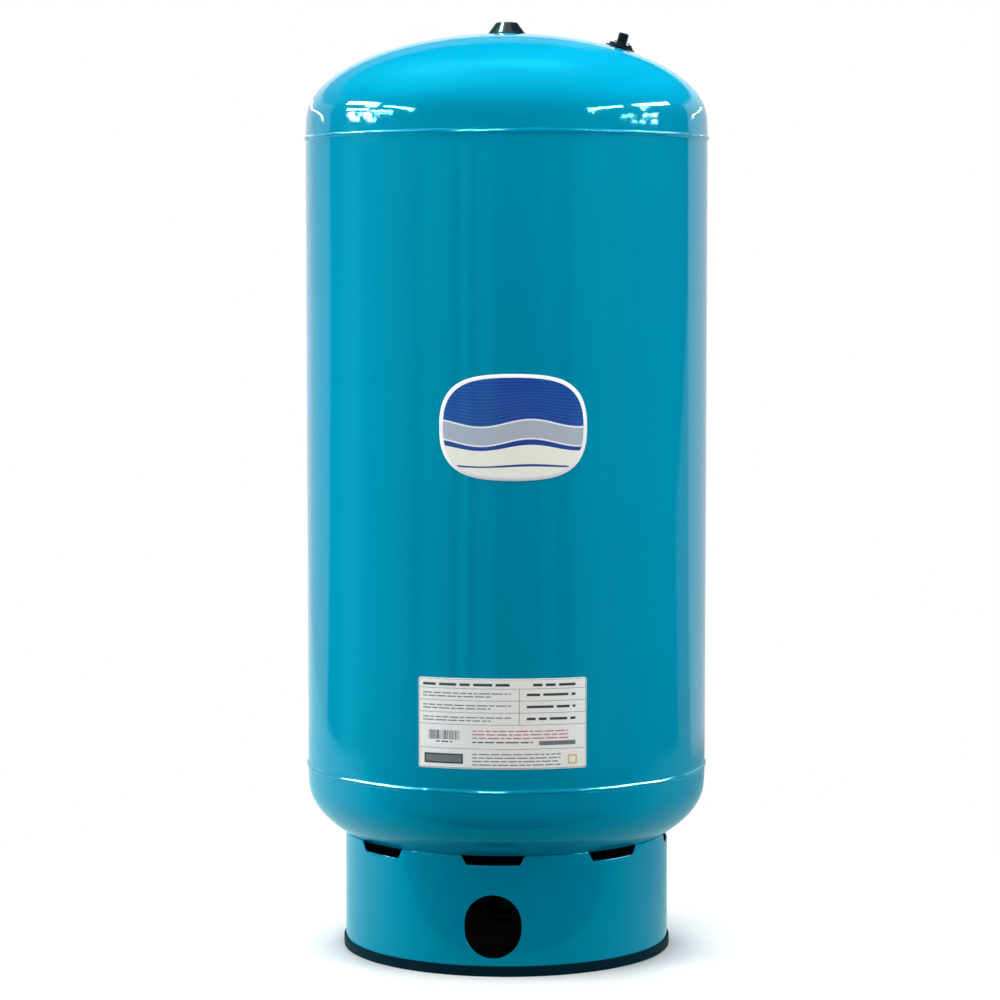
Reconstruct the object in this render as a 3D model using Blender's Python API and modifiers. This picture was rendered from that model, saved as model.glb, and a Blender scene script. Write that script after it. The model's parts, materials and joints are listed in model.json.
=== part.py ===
"""Vertical well pressure tank with a diaphragm, modelled in metres, +Z up.

The origin is on the floor, on the tank's axis. The pipe hole in the skirt faces -Y and the air
valve leans out of the upper head on the +X side. A rolled cylinder is closed by two pressed heads
whose joggled lips slip inside it, and the skirt carries the lower head on eight tabs.
"""
import math

import bmesh
import bpy
import numpy as np

# General
CLEARANCE = 0.0003
BODY_SEGMENTS = 48
LINER_SEGMENTS = 32
FITTING_SEGMENTS = 28
VALVE_SEGMENTS = 20
TUBE_BEVEL_STEPS = 5
WELD_DISTANCE = 0.00001
SMOOTH_ANGLE = math.radians(32)

# Cylinder and pressed heads
BODY_RADIUS = 0.2700
BODY_WALL = 0.0020
BODY_LENGTH = 0.8433
HEAD_BOTTOM_Z = 0.1104
HEAD_CROWN_DEPTH = 0.1158
HEAD_FLANGE = 0.0237
HEAD_WALL = 0.0022
HEAD_LIP_LENGTH = 0.0140
LAND_RADIUS = 0.0450
CROWN_SAMPLES = 400
OUTER_CHORDS = 9
INNER_CHORDS = 6

# Welds
WELD_GROOVE = 0.0046
WELD_BEAD_HEIGHT = 0.0020
GROOVE_STEP = 0.0014
SEAM_BEAD_WIDTH = 0.0050
SEAM_BEAD_HEIGHT = 0.0008
SEAM_BEAD_STEPS = 4

# Skirt
SKIRT_RADIUS = 0.2194
SKIRT_WALL = 0.0019
NOTCH_COUNT = 8
NOTCH_TOP_WIDTH = 0.0836
NOTCH_FOOT_WIDTH = 0.0710
NOTCH_DEPTH = 0.0125
PIPE_HOLE_WIDTH = 0.0750
PIPE_HOLE_HEIGHT = 0.0834
PIPE_AXIS_Z = 0.0651
PIPE_HOLE_ARC_STEPS = 12
SKIRT_CUT_LENGTH = 0.0400
NOTCH_CUT_RISE = 0.0100

# Foot ring, a channel strip that grips the skirt's lower edge
FOOT_HEIGHT = 0.0138
FOOT_LEG = 0.0023
FOOT_WEB = 0.0030
FOOT_CORNER = 0.0010
FOOT_SPLIT = 0.0030
FOOT_CUT_LENGTH = 0.0300
FOOT_CUT_MARGIN = 0.0050

# Lifting boss and the moulded plug over it
LIFT_BOSS_RADIUS = 0.0120
LIFT_BOSS_HEIGHT = 0.0070
LIFT_HOLE_RADIUS = 0.0052
LIFT_HOLE_DEPTH = 0.0055
PLUG_FOOT_RADIUS = 0.0268
PLUG_TOP_RADIUS = 0.0142
PLUG_HEIGHT = 0.0157
PLUG_WALL = 0.0022
PLUG_CORNER = 0.0012
PLUG_FLARE = 0.0016
PLUG_FLARE_HEIGHT = 0.0022

# Air valve, measured along its own axis from the head's outer surface
VALVE_OFFSET = 0.1520
VALVE_BOSS_RADIUS = 0.0105
VALVE_BOSS_DEPTH = 0.0120
VALVE_BOSS_RISE = 0.0010
VALVE_RING_SECTION = 0.0017
VALVE_RING_SIDES = 6
VALVE_HOLE_REACH = 0.0300
STEM_SHANK_RADIUS = 0.00515
STEM_SHANK_DEPTH = 0.0110
STEM_TUBE_RADIUS = 0.00385
STEM_TOP = 0.0180
STEM_LEAD = 0.0004
STEM_HEX_FLATS = 0.0140
STEM_HEX_HEIGHT = 0.0027
STEM_CORE_RADIUS = 0.00265
STEM_CORE_FLOOR = 0.0040
STEM_AIRWAY_RADIUS = 0.0015
STEM_BORE_MARGIN = 0.0010
GUARD_RADIUS = 0.0202
GUARD_THICKNESS = 0.0020
GUARD_EDGE = 0.0009
GUARD_WALL_RADIUS = 0.0157
GUARD_WALL = 0.0019
GUARD_WALL_HEIGHT = 0.0031
GUARD_STRAP_WIDTH = 0.0030
GUARD_STRAP_THICKNESS = 0.0014
GUARD_STRAP_TOP = 0.0105
CORE_BASE = 0.0080
CORE_LENGTH = 0.0089
CORE_BORE_RADIUS = 0.00095
PIN_RADIUS = 0.00060
PIN_RISE = 0.0006
POPPET_RADIUS = 0.0017
POPPET_HEIGHT = 0.0015
CAP_RADIUS = 0.00675
CAP_FOOT_RADIUS = 0.0073
CAP_FOOT_HEIGHT = 0.0010
CAP_CEILING = 0.0019
CAP_ROUNDING = 0.0021
CAP_ROUNDING_STEPS = 3
CAP_DOME = 0.0002
CAP_SEAL_THICKNESS = 0.0010
CAP_TAB_RISE = 0.0014
CAP_TAB_THICKNESS = 0.0012
CAP_TAB_WIDTH = 0.0050
CAP_TAB_REACH = 0.0036

# Liner, diaphragm and the hoop that clenches their rims
LINER_WALL = 0.0018
LINER_SLACK = 0.0006
DIAPHRAGM_WALL = 0.0025
CLENCH_RISE = 0.4100
CLENCH_HEIGHT = 0.0200
CLENCH_WALL = 0.0030
RIM_FLARE = 0.0024
RIM_BEAD = 0.0060
RIM_MARGIN = 0.0040

# Water connection under the lower head
SPIGOT_RADIUS = 0.0211
SPIGOT_BORE_RADIUS = 0.0175
SPIGOT_ENGAGEMENT = 0.0150
FLANGE_RADIUS = 0.0400
FLANGE_THICKNESS = 0.0040
SEAL_RADIUS = 0.0380
SEAL_THICKNESS = 0.0025
WASHER_RADIUS = 0.0360
WASHER_THICKNESS = 0.0015
NUT_FLATS = 0.0580
NUT_THICKNESS = 0.0100
NUT_CHAMFER = 0.0016
ELBOW_TUBE_RADIUS = 0.0225
ELBOW_COLLAR_RADIUS = 0.0270
ELBOW_COLLAR_LENGTH = 0.0190
ELBOW_COLLAR_CHAMFER = 0.0015
ELBOW_BEND_RADIUS = 0.0260
ELBOW_REACH = 0.0750
ELBOW_SOCKET_DEPTH = 0.0160
ELBOW_BEND_STEPS = 6
ELBOW_OVERLAP = 0.0020
ELBOW_CUT_MARGIN = 0.0040

# Places that follow from the sizes above
LOWER_SEAM_Z = HEAD_BOTTOM_Z + HEAD_CROWN_DEPTH + HEAD_FLANGE
UPPER_SEAM_Z = LOWER_SEAM_Z + BODY_LENGTH
APEX_Z = UPPER_SEAM_Z + HEAD_FLANGE + HEAD_CROWN_DEPTH
LIP_RADIUS = BODY_RADIUS - BODY_WALL - CLEARANCE
LINER_RADIUS = LIP_RADIUS - HEAD_WALL - CLEARANCE - LINER_SLACK
LINER_DEPTH = HEAD_CROWN_DEPTH - HEAD_WALL - CLEARANCE
SPIGOT_HOLE_RADIUS = SPIGOT_RADIUS + CLEARANCE

# Colour, metallic and roughness of each finish
FINISHES = {
    "teal_paint": ((0.000, 0.205, 0.345), 0.0, 0.18),
    "black_rubber": ((0.012, 0.016, 0.020), 0.0, 0.55),
    "black_plastic": ((0.010, 0.014, 0.018), 0.0, 0.22),
    "stainless": ((0.560, 0.570, 0.580), 1.0, 0.30),
    "zinc_steel": ((0.480, 0.490, 0.500), 1.0, 0.38),
    "brass": ((0.620, 0.450, 0.170), 1.0, 0.28),
    "butyl_rubber": ((0.018, 0.018, 0.018), 0.0, 0.70),
    "white_polymer": ((0.780, 0.790, 0.770), 0.0, 0.45),
}


def clear_scene():
    """Remove what the start-up scene holds."""
    for thing in list(bpy.data.objects):
        bpy.data.objects.remove(thing, do_unlink=True)


def new_collection(name):
    """Add a collection to the scene."""
    collection = bpy.data.collections.new(name)
    bpy.context.scene.collection.children.link(collection)
    return collection


def finish_for(name, finish):
    """Make the piece's own Principled material."""
    colour, metallic, roughness = FINISHES[finish]
    material = bpy.data.materials.new(name + "_" + finish)
    material.use_nodes = True
    shader = material.node_tree.nodes["Principled BSDF"]
    shader.inputs["Base Color"].default_value = (*colour, 1.0)
    shader.inputs["Metallic"].default_value = metallic
    shader.inputs["Roughness"].default_value = roughness
    material.diffuse_color = (*colour, 1.0)
    return material


def place(name, mesh, collection, location=(0.0, 0.0, 0.0), parent=None):
    """Put a mesh into a collection as an object, under a parent where one is given."""
    piece = bpy.data.objects.new(name, mesh)
    piece.location = location
    piece.parent = parent
    collection.objects.link(piece)
    if collection is CUTTERS:
        piece.hide_render = True
        piece.display_type = "WIRE"
    return piece


def turned(name, profile, segments, collection, location=(0.0, 0.0, 0.0), parent=None):
    """Turn a profile of (radius, height) pairs about Z, closed where it stays off the axis."""
    count = len(profile)
    edges = [(i, i + 1) for i in range(count - 1)]
    if min(radius for radius, _ in profile) > 0:
        edges.append((count - 1, 0))
    mesh = bpy.data.meshes.new(name)
    mesh.from_pydata([(radius, 0.0, height) for radius, height in profile], edges, [])
    piece = place(name, mesh, collection, location, parent)
    turn = piece.modifiers.new("Turn", "SCREW")
    turn.axis = "Z"
    turn.angle = math.tau
    turn.steps = segments
    turn.render_steps = segments
    turn.use_merge_vertices = True
    turn.merge_threshold = WELD_DISTANCE
    return piece


def prism(name, outline, length, collection, location=(0.0, 0.0, 0.0), parent=None):
    """Push a flat outline in the XZ plane along Y, half its length to each side."""
    form = bmesh.new()
    corners = [form.verts.new((x, -length / 2, z)) for x, z in outline]
    base = form.faces.new(corners)
    swept = bmesh.ops.extrude_face_region(form, geom=[base])
    moved = [part for part in swept["geom"] if isinstance(part, bmesh.types.BMVert)]
    bmesh.ops.translate(form, vec=(0.0, length, 0.0), verts=moved)
    bmesh.ops.recalc_face_normals(form, faces=form.faces)
    mesh = bpy.data.meshes.new(name)
    form.to_mesh(mesh)
    form.free()
    return place(name, mesh, collection, location, parent)


def hexagon(name, flats, height, collection, location=(0.0, 0.0, 0.0), parent=None):
    """Make a hexagonal bar from its width across the flats, standing on its location."""
    form = bmesh.new()
    corner = flats / 2 / math.cos(math.pi / 6)
    bmesh.ops.create_cone(form, cap_ends=True, segments=6, radius1=corner, radius2=corner, depth=height)
    bmesh.ops.translate(form, vec=(0.0, 0.0, height / 2), verts=form.verts)
    mesh = bpy.data.meshes.new(name)
    form.to_mesh(mesh)
    form.free()
    return place(name, mesh, collection, location, parent)


def swept_tube(name, path, radius, collection):
    """Sweep a round section along a path as a bevelled curve, and make it a closed mesh."""
    curve = bpy.data.curves.new(name, "CURVE")
    curve.dimensions = "3D"
    curve.bevel_depth = radius
    curve.bevel_resolution = TUBE_BEVEL_STEPS
    curve.use_fill_caps = True
    spline = curve.splines.new("POLY")
    spline.points.add(len(path) - 1)
    for point, position in zip(spline.points, path):
        point.co = (*position, 1.0)
    guide = bpy.data.objects.new(name + "_guide", curve)
    bpy.context.scene.collection.objects.link(guide)
    bpy.context.view_layer.update()
    evaluated = guide.evaluated_get(bpy.context.evaluated_depsgraph_get())
    mesh = bpy.data.meshes.new_from_object(evaluated)
    mesh.name = name
    form = bmesh.new()
    form.from_mesh(mesh)
    bmesh.ops.remove_doubles(form, verts=form.verts, dist=WELD_DISTANCE)
    bmesh.ops.recalc_face_normals(form, faces=form.faces)
    form.to_mesh(mesh)
    form.free()
    piece = place(name, mesh, collection)
    piece.matrix_world = guide.matrix_world
    bpy.data.objects.remove(guide, do_unlink=True)
    return piece


def combine(piece, tool, operation):
    """Cut, join or intersect a piece with another object."""
    change = piece.modifiers.new(tool.name, "BOOLEAN")
    change.operation = operation
    change.solver = "EXACT"
    change.object = tool


def settle(piece, finish):
    """Bake the modifiers into the mesh, shade its round faces smooth and give it its finish."""
    bpy.context.view_layer.update()
    evaluated = piece.evaluated_get(bpy.context.evaluated_depsgraph_get())
    mesh = bpy.data.meshes.new_from_object(evaluated)
    mesh.name = piece.name
    piece.modifiers.clear()
    piece.data = mesh
    mesh.materials.clear()
    mesh.materials.append(finish_for(piece.name, finish))
    mesh.shade_smooth()
    mesh.set_sharp_from_angle(angle=SMOOTH_ANGLE)
    return piece


def crown_points(radius, depth, start_radius, chords):
    """Points of a quarter ellipse from start_radius out to its rim, as (radius, height).

    They are spaced so that every chord stands off the ellipse by the same amount: the step along
    the arc goes with the square root of the radius of curvature.
    """
    fine = np.linspace(math.asin(start_radius / radius), math.pi / 2, CROWN_SAMPLES)
    speed = np.hypot(radius * np.cos(fine), depth * np.sin(fine))
    between = np.sqrt(speed[1:] * speed[:-1])
    weight = np.concatenate([[0.0], np.cumsum(1 / np.sqrt(between))])
    angles = np.interp(np.linspace(0.0, weight[-1], chords + 1), weight, fine)
    return [(radius * math.sin(angle), depth * math.cos(angle)) for angle in angles]


def head_height(radius):
    """Height of a head's outer surface over its seam plane, at a distance from the axis."""
    return HEAD_FLANGE + HEAD_CROWN_DEPTH * math.sqrt(1 - (radius / BODY_RADIUS) ** 2)


def head_section(opening, land):
    """Section of a pressed head, crown up, with its seam plane at height zero.

    The crown is a semi-ellipse, flat inside the land. Below it come the straight flange, the
    joggle and the lip. The joggle's inner corners lie where the wall keeps its thickness.
    """
    step_in = BODY_RADIUS - LIP_RADIUS
    shoulder = WELD_GROOVE / 2
    slant = math.hypot(step_in, GROOVE_STEP)
    inner_shoulder = shoulder + HEAD_WALL * (slant - GROOVE_STEP) / step_in
    outer_crown = crown_points(BODY_RADIUS, HEAD_CROWN_DEPTH, land, OUTER_CHORDS)
    inner_crown = crown_points(BODY_RADIUS - HEAD_WALL, HEAD_CROWN_DEPTH - HEAD_WALL, land, INNER_CHORDS)
    outer = [(radius, HEAD_FLANGE + height) for radius, height in outer_crown]
    inner = [(radius, HEAD_FLANGE + height) for radius, height in inner_crown]
    if opening > 0:
        outer.insert(0, (opening, outer[0][1]))
        inner.insert(0, (opening, inner[0][1]))
    joggle = [
        (BODY_RADIUS, shoulder),
        (LIP_RADIUS, shoulder - GROOVE_STEP),
        (LIP_RADIUS, -HEAD_LIP_LENGTH),
        (LIP_RADIUS - HEAD_WALL, -HEAD_LIP_LENGTH),
        (LIP_RADIUS - HEAD_WALL, inner_shoulder - GROOVE_STEP),
        (BODY_RADIUS - HEAD_WALL, inner_shoulder),
    ]
    return outer + joggle + inner[::-1]


def turned_over(section):
    """Flip a crown-up section so that its crown hangs down, still running down its outer side."""
    return [(radius, -height) for radius, height in reversed(section)]


def make_body_cylinder():
    """The rolled cylinder between the two weld grooves."""
    low = LOWER_SEAM_Z + WELD_GROOVE / 2
    high = UPPER_SEAM_Z - WELD_GROOVE / 2
    inner = BODY_RADIUS - BODY_WALL
    section = [(BODY_RADIUS, high), (BODY_RADIUS, low), (inner, low), (inner, high)]
    piece = turned("body_cylinder", section, BODY_SEGMENTS, PARTS)
    return settle(piece, "teal_paint")


def make_body_seam_weld():
    """The bead of the cylinder's lengthwise butt weld, at the back, between the girth beads."""
    bead_height = BODY_LENGTH - WELD_GROOVE - 2 * CLEARANCE
    base = BODY_RADIUS + CLEARANCE
    outline = []
    for step in range(SEAM_BEAD_STEPS + 1):
        angle = math.pi * step / SEAM_BEAD_STEPS
        outline.append((SEAM_BEAD_WIDTH / 2 * math.cos(angle), SEAM_BEAD_HEIGHT * math.sin(angle)))
    curve = bpy.data.curves.new("body_seam_weld", "CURVE")
    curve.dimensions = "2D"
    curve.fill_mode = "BOTH"
    curve.extrude = bead_height / 2
    spline = curve.splines.new("POLY")
    spline.points.add(len(outline) - 1)
    for point, (x, y) in zip(spline.points, outline):
        point.co = (x, y, 0.0, 1.0)
    spline.use_cyclic_u = True
    piece = bpy.data.objects.new("body_seam_weld", curve)
    piece.location = (0.0, base, (LOWER_SEAM_Z + UPPER_SEAM_Z) / 2)
    curve.materials.append(finish_for("body_seam_weld", "teal_paint"))
    PARTS.objects.link(piece)
    return piece


def make_girth_weld(name, height, head_below):
    """A bead that fills the groove between the cylinder's end and a head's shoulder."""
    half = WELD_GROOVE / 2 - CLEARANCE
    floor = LIP_RADIUS + CLEARANCE
    flank = BODY_RADIUS + CLEARANCE
    crown = BODY_RADIUS + WELD_BEAD_HEIGHT
    section = [(floor, half - GROOVE_STEP), (flank, half), (crown, 0.0), (flank, -half), (floor, -half)]
    if head_below:
        section = turned_over(section)
    piece = turned(name, section, BODY_SEGMENTS, PARTS, (0.0, 0.0, height))
    return settle(piece, "teal_paint")


def make_upper_head(valve_frame):
    """The upper pressed head, with the hole that takes the valve boss."""
    piece = turned("upper_head", head_section(0.0, 0.0), BODY_SEGMENTS, PARTS, (0.0, 0.0, UPPER_SEAM_Z))
    reach = VALVE_HOLE_REACH
    radius = VALVE_BOSS_RADIUS + CLEARANCE
    bar = [(0.0, reach), (radius, reach), (radius, -reach), (0.0, -reach)]
    combine(piece, turned("cut_valve_hole", bar, VALVE_SEGMENTS, CUTTERS, parent=valve_frame), "DIFFERENCE")
    return settle(piece, "teal_paint")


def make_lower_head():
    """The lower pressed head, with a flat land and a hole for the water connection."""
    section = turned_over(head_section(SPIGOT_HOLE_RADIUS, LAND_RADIUS))
    piece = turned("lower_head", section, BODY_SEGMENTS, PARTS, (0.0, 0.0, LOWER_SEAM_Z))
    return settle(piece, "teal_paint")


def obround(width, height, arc_steps):
    """Outline of a slot that is taller than wide, its two half circles joined by straight sides."""
    radius = width / 2
    straight = (height - width) / 2
    points = []
    for centre, start in ((straight, 0.0), (-straight, math.pi)):
        for step in range(arc_steps + 1):
            angle = start + math.pi * step / arc_steps
            points.append((radius * math.cos(angle), centre + radius * math.sin(angle)))
    return points


def make_base_skirt():
    """The rolled skirt: its top follows the lower head, with notches, and a pipe hole in front."""
    inner = SKIRT_RADIUS - SKIRT_WALL
    top_outer = LOWER_SEAM_Z - head_height(SKIRT_RADIUS) - CLEARANCE
    top_inner = LOWER_SEAM_Z - head_height(inner) - CLEARANCE
    low = FOOT_WEB + CLEARANCE
    section = [(SKIRT_RADIUS, top_outer), (SKIRT_RADIUS, low), (inner, low), (inner, top_inner)]
    piece = turned("base_skirt", section, BODY_SEGMENTS, PARTS)

    spread = (NOTCH_TOP_WIDTH - NOTCH_FOOT_WIDTH) / 2 * (1 + NOTCH_CUT_RISE / NOTCH_DEPTH)
    half_foot = NOTCH_FOOT_WIDTH / 2
    floor = top_outer - NOTCH_DEPTH
    notch = [
        (-half_foot, floor),
        (half_foot, floor),
        (half_foot + spread, top_outer + NOTCH_CUT_RISE),
        (-half_foot - spread, top_outer + NOTCH_CUT_RISE),
    ]
    for index in range(NOTCH_COUNT):
        turn = math.tau * index / NOTCH_COUNT
        centre = (SKIRT_RADIUS * math.sin(turn), -SKIRT_RADIUS * math.cos(turn), 0.0)
        cutter = prism("cut_notch_%d" % (index + 1), notch, SKIRT_CUT_LENGTH, CUTTERS, centre)
        cutter.rotation_euler = (0.0, 0.0, turn)
        combine(piece, cutter, "DIFFERENCE")
    hole = obround(PIPE_HOLE_WIDTH, PIPE_HOLE_HEIGHT, PIPE_HOLE_ARC_STEPS)
    cutter = prism("cut_pipe_hole", hole, SKIRT_CUT_LENGTH, CUTTERS, (0.0, -SKIRT_RADIUS, PIPE_AXIS_Z))
    combine(piece, cutter, "DIFFERENCE")
    return settle(piece, "teal_paint")


def make_foot_ring():
    """The channel strip under the skirt, wrapped round with its ends meeting at the back."""
    channel_out = SKIRT_RADIUS + CLEARANCE
    channel_in = SKIRT_RADIUS - SKIRT_WALL - CLEARANCE
    outer = channel_out + FOOT_LEG
    inner = channel_in - FOOT_LEG
    section = [
        (outer, FOOT_HEIGHT),
        (outer, FOOT_CORNER),
        (outer - FOOT_CORNER, 0.0),
        (inner + FOOT_CORNER, 0.0),
        (inner, FOOT_CORNER),
        (inner, FOOT_HEIGHT),
        (channel_in, FOOT_HEIGHT),
        (channel_in, FOOT_WEB),
        (channel_out, FOOT_WEB),
        (channel_out, FOOT_HEIGHT),
    ]
    piece = turned("foot_ring", section, BODY_SEGMENTS, PARTS)
    half = FOOT_SPLIT / 2
    low = -FOOT_CUT_MARGIN
    high = FOOT_HEIGHT + FOOT_CUT_MARGIN
    split = [(-half, low), (half, low), (half, high), (-half, high)]
    centre = (0.0, (outer + inner) / 2, 0.0)
    combine(piece, prism("cut_foot_split", split, FOOT_CUT_LENGTH, CUTTERS, centre), "DIFFERENCE")
    return settle(piece, "black_rubber")


def make_lifting_boss():
    """A round steel boss on the crown with a blind hole, used to lift the bare tank."""
    low = CLEARANCE
    high = LIFT_BOSS_HEIGHT
    hole_floor = high - LIFT_HOLE_DEPTH
    section = [
        (0.0, hole_floor),
        (LIFT_HOLE_RADIUS, hole_floor),
        (LIFT_HOLE_RADIUS, high),
        (LIFT_BOSS_RADIUS, high),
        (LIFT_BOSS_RADIUS, low),
        (0.0, low),
    ]
    piece = turned("lifting_boss", section, VALVE_SEGMENTS, PARTS, (0.0, 0.0, APEX_Z))
    return settle(piece, "zinc_steel")


def make_top_plug():
    """The hollow moulded plug over the boss: a flared cone with a stem that fits the boss's hole."""
    foot = head_height(PLUG_FOOT_RADIUS) - head_height(0.0) + CLEARANCE
    stem = LIFT_HOLE_RADIUS - CLEARANCE
    stem_end = LIFT_BOSS_HEIGHT - LIFT_HOLE_DEPTH + CLEARANCE
    ceiling = PLUG_HEIGHT - PLUG_WALL
    section = [
        (0.0, PLUG_HEIGHT),
        (PLUG_TOP_RADIUS - PLUG_CORNER, PLUG_HEIGHT),
        (PLUG_TOP_RADIUS, PLUG_HEIGHT - PLUG_CORNER),
        (PLUG_FOOT_RADIUS - PLUG_FLARE, foot + PLUG_FLARE_HEIGHT),
        (PLUG_FOOT_RADIUS, foot),
        (PLUG_FOOT_RADIUS - PLUG_WALL, foot),
        (PLUG_TOP_RADIUS - PLUG_CORNER, ceiling),
        (stem, ceiling),
        (stem, stem_end),
        (0.0, stem_end),
    ]
    piece = turned("top_plug", section, FITTING_SEGMENTS, PARTS, (0.0, 0.0, APEX_Z))
    return settle(piece, "black_plastic")


def make_valve_frame():
    """An empty on the upper head's surface, its Z axis along the head's normal."""
    slope = HEAD_CROWN_DEPTH * VALVE_OFFSET / (
        BODY_RADIUS ** 2 * math.sqrt(1 - (VALVE_OFFSET / BODY_RADIUS) ** 2))
    frame = bpy.data.objects.new("valve_frame", None)
    frame.location = (VALVE_OFFSET, 0.0, UPPER_SEAM_Z + head_height(VALVE_OFFSET))
    frame.rotation_euler = (0.0, math.atan(slope), 0.0)
    PARTS.objects.link(frame)
    return frame


def make_valve_boss(frame):
    """The steel socket set in the head, counterbored for the ring seal."""
    bore = STEM_SHANK_RADIUS + CLEARANCE
    counterbore = bore + VALVE_RING_SECTION + CLEARANCE
    step = VALVE_BOSS_RISE - VALVE_RING_SECTION - 3 * CLEARANCE
    section = [
        (VALVE_BOSS_RADIUS, VALVE_BOSS_RISE),
        (VALVE_BOSS_RADIUS, -VALVE_BOSS_DEPTH),
        (bore, -VALVE_BOSS_DEPTH),
        (bore, step),
        (counterbore, step),
        (counterbore, VALVE_BOSS_RISE),
    ]
    piece = turned("valve_boss", section, VALVE_SEGMENTS, PARTS, parent=frame)
    return settle(piece, "teal_paint")


def make_valve_ring_seal(frame):
    """The rubber ring between the valve's shank and the boss."""
    minor = VALVE_RING_SECTION / 2
    major = STEM_SHANK_RADIUS + CLEARANCE + minor
    level = VALVE_BOSS_RISE - 2 * CLEARANCE - minor
    bpy.ops.mesh.primitive_torus_add(
        major_radius=major, minor_radius=minor,
        major_segments=VALVE_SEGMENTS, minor_segments=VALVE_RING_SIDES)
    torus = bpy.context.active_object
    mesh = torus.data
    bpy.data.objects.remove(torus, do_unlink=True)
    piece = place("valve_ring_seal", mesh, PARTS, (0.0, 0.0, level), frame)
    return settle(piece, "black_rubber")


def guard_base():
    """Height of the guard's underside along the valve's axis."""
    return VALVE_BOSS_RISE + CLEARANCE


def hex_base():
    """Height of the underside of the stem's hexagon, on the guard."""
    return guard_base() + GUARD_THICKNESS + CLEARANCE


def cap_base():
    """Height of the cap's foot, just over the stem's hexagon."""
    return hex_base() + STEM_HEX_HEIGHT + CLEARANCE


def make_valve_guard(frame):
    """The moulded guard: a disc with a raised wall, and a short strap that rises to the cap."""
    low = guard_base()
    top = low + GUARD_THICKNESS
    hole = STEM_SHANK_RADIUS + CLEARANCE
    wall_in = GUARD_WALL_RADIUS - GUARD_WALL
    wall_top = top + GUARD_WALL_HEIGHT
    section = [
        (hole, top),
        (wall_in, top),
        (wall_in, wall_top),
        (GUARD_WALL_RADIUS, wall_top),
        (GUARD_WALL_RADIUS, top),
        (GUARD_RADIUS, low + GUARD_EDGE),
        (GUARD_RADIUS, low),
        (hole, low),
    ]
    piece = turned("valve_guard", section, FITTING_SEGMENTS, PARTS, parent=frame)
    near = CAP_FOOT_RADIUS + CLEARANCE
    root = top - GUARD_THICKNESS / 2
    strap = [
        (near, GUARD_STRAP_TOP),
        (near, GUARD_STRAP_TOP - GUARD_STRAP_THICKNESS),
        (wall_in, wall_top - GUARD_STRAP_THICKNESS),
        (wall_in, root),
        (GUARD_WALL_RADIUS + GUARD_STRAP_THICKNESS, root),
        (GUARD_WALL_RADIUS + GUARD_STRAP_THICKNESS, top),
        (GUARD_WALL_RADIUS - GUARD_WALL / 2, wall_top + GUARD_STRAP_THICKNESS / 2),
    ]
    combine(piece, prism("add_strap", strap, GUARD_STRAP_WIDTH, CUTTERS, parent=frame), "UNION")
    return settle(piece, "black_plastic")


def make_valve_stem(frame):
    """The brass stem: shank, hexagon and capped tube, with a chamber for the core."""
    low = hex_base()
    middle = low + STEM_HEX_HEIGHT / 2
    section = [
        (0.0, STEM_TOP),
        (STEM_TUBE_RADIUS - STEM_LEAD, STEM_TOP),
        (STEM_TUBE_RADIUS, STEM_TOP - STEM_LEAD),
        (STEM_TUBE_RADIUS, middle),
        (STEM_SHANK_RADIUS, middle),
        (STEM_SHANK_RADIUS, -STEM_SHANK_DEPTH),
        (0.0, -STEM_SHANK_DEPTH),
    ]
    piece = turned("valve_stem", section, VALVE_SEGMENTS, PARTS, parent=frame)
    nut = hexagon("add_stem_hexagon", STEM_HEX_FLATS, STEM_HEX_HEIGHT, CUTTERS, (0.0, 0.0, low), frame)
    combine(piece, nut, "UNION")
    bore = [
        (0.0, STEM_TOP + STEM_BORE_MARGIN),
        (STEM_CORE_RADIUS, STEM_TOP + STEM_BORE_MARGIN),
        (STEM_CORE_RADIUS, STEM_CORE_FLOOR),
        (STEM_AIRWAY_RADIUS, STEM_CORE_FLOOR),
        (STEM_AIRWAY_RADIUS, -STEM_SHANK_DEPTH - STEM_BORE_MARGIN),
        (0.0, -STEM_SHANK_DEPTH - STEM_BORE_MARGIN),
    ]
    combine(piece, turned("cut_stem_bore", bore, VALVE_SEGMENTS, CUTTERS, parent=frame), "DIFFERENCE")
    return settle(piece, "brass")


def make_valve_core(frame):
    """The core's sleeve inside the stem."""
    radius = STEM_CORE_RADIUS - CLEARANCE
    top = CORE_BASE + CORE_LENGTH
    section = [(radius, top), (radius, CORE_BASE), (CORE_BORE_RADIUS, CORE_BASE), (CORE_BORE_RADIUS, top)]
    piece = turned("valve_core", section, VALVE_SEGMENTS, PARTS, parent=frame)
    return settle(piece, "brass")


def make_core_pin(frame):
    """The pin that opens the core when it is pressed, with its poppet under the sleeve."""
    shoulder = CORE_BASE - CLEARANCE
    section = [
        (0.0, CORE_BASE + CORE_LENGTH + PIN_RISE),
        (PIN_RADIUS, CORE_BASE + CORE_LENGTH + PIN_RISE),
        (PIN_RADIUS, shoulder),
        (POPPET_RADIUS, shoulder),
        (POPPET_RADIUS, shoulder - POPPET_HEIGHT),
        (0.0, shoulder - POPPET_HEIGHT),
    ]
    piece = turned("core_pin", section, VALVE_SEGMENTS // 2, PARTS, parent=frame)
    return settle(piece, "brass")


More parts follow.
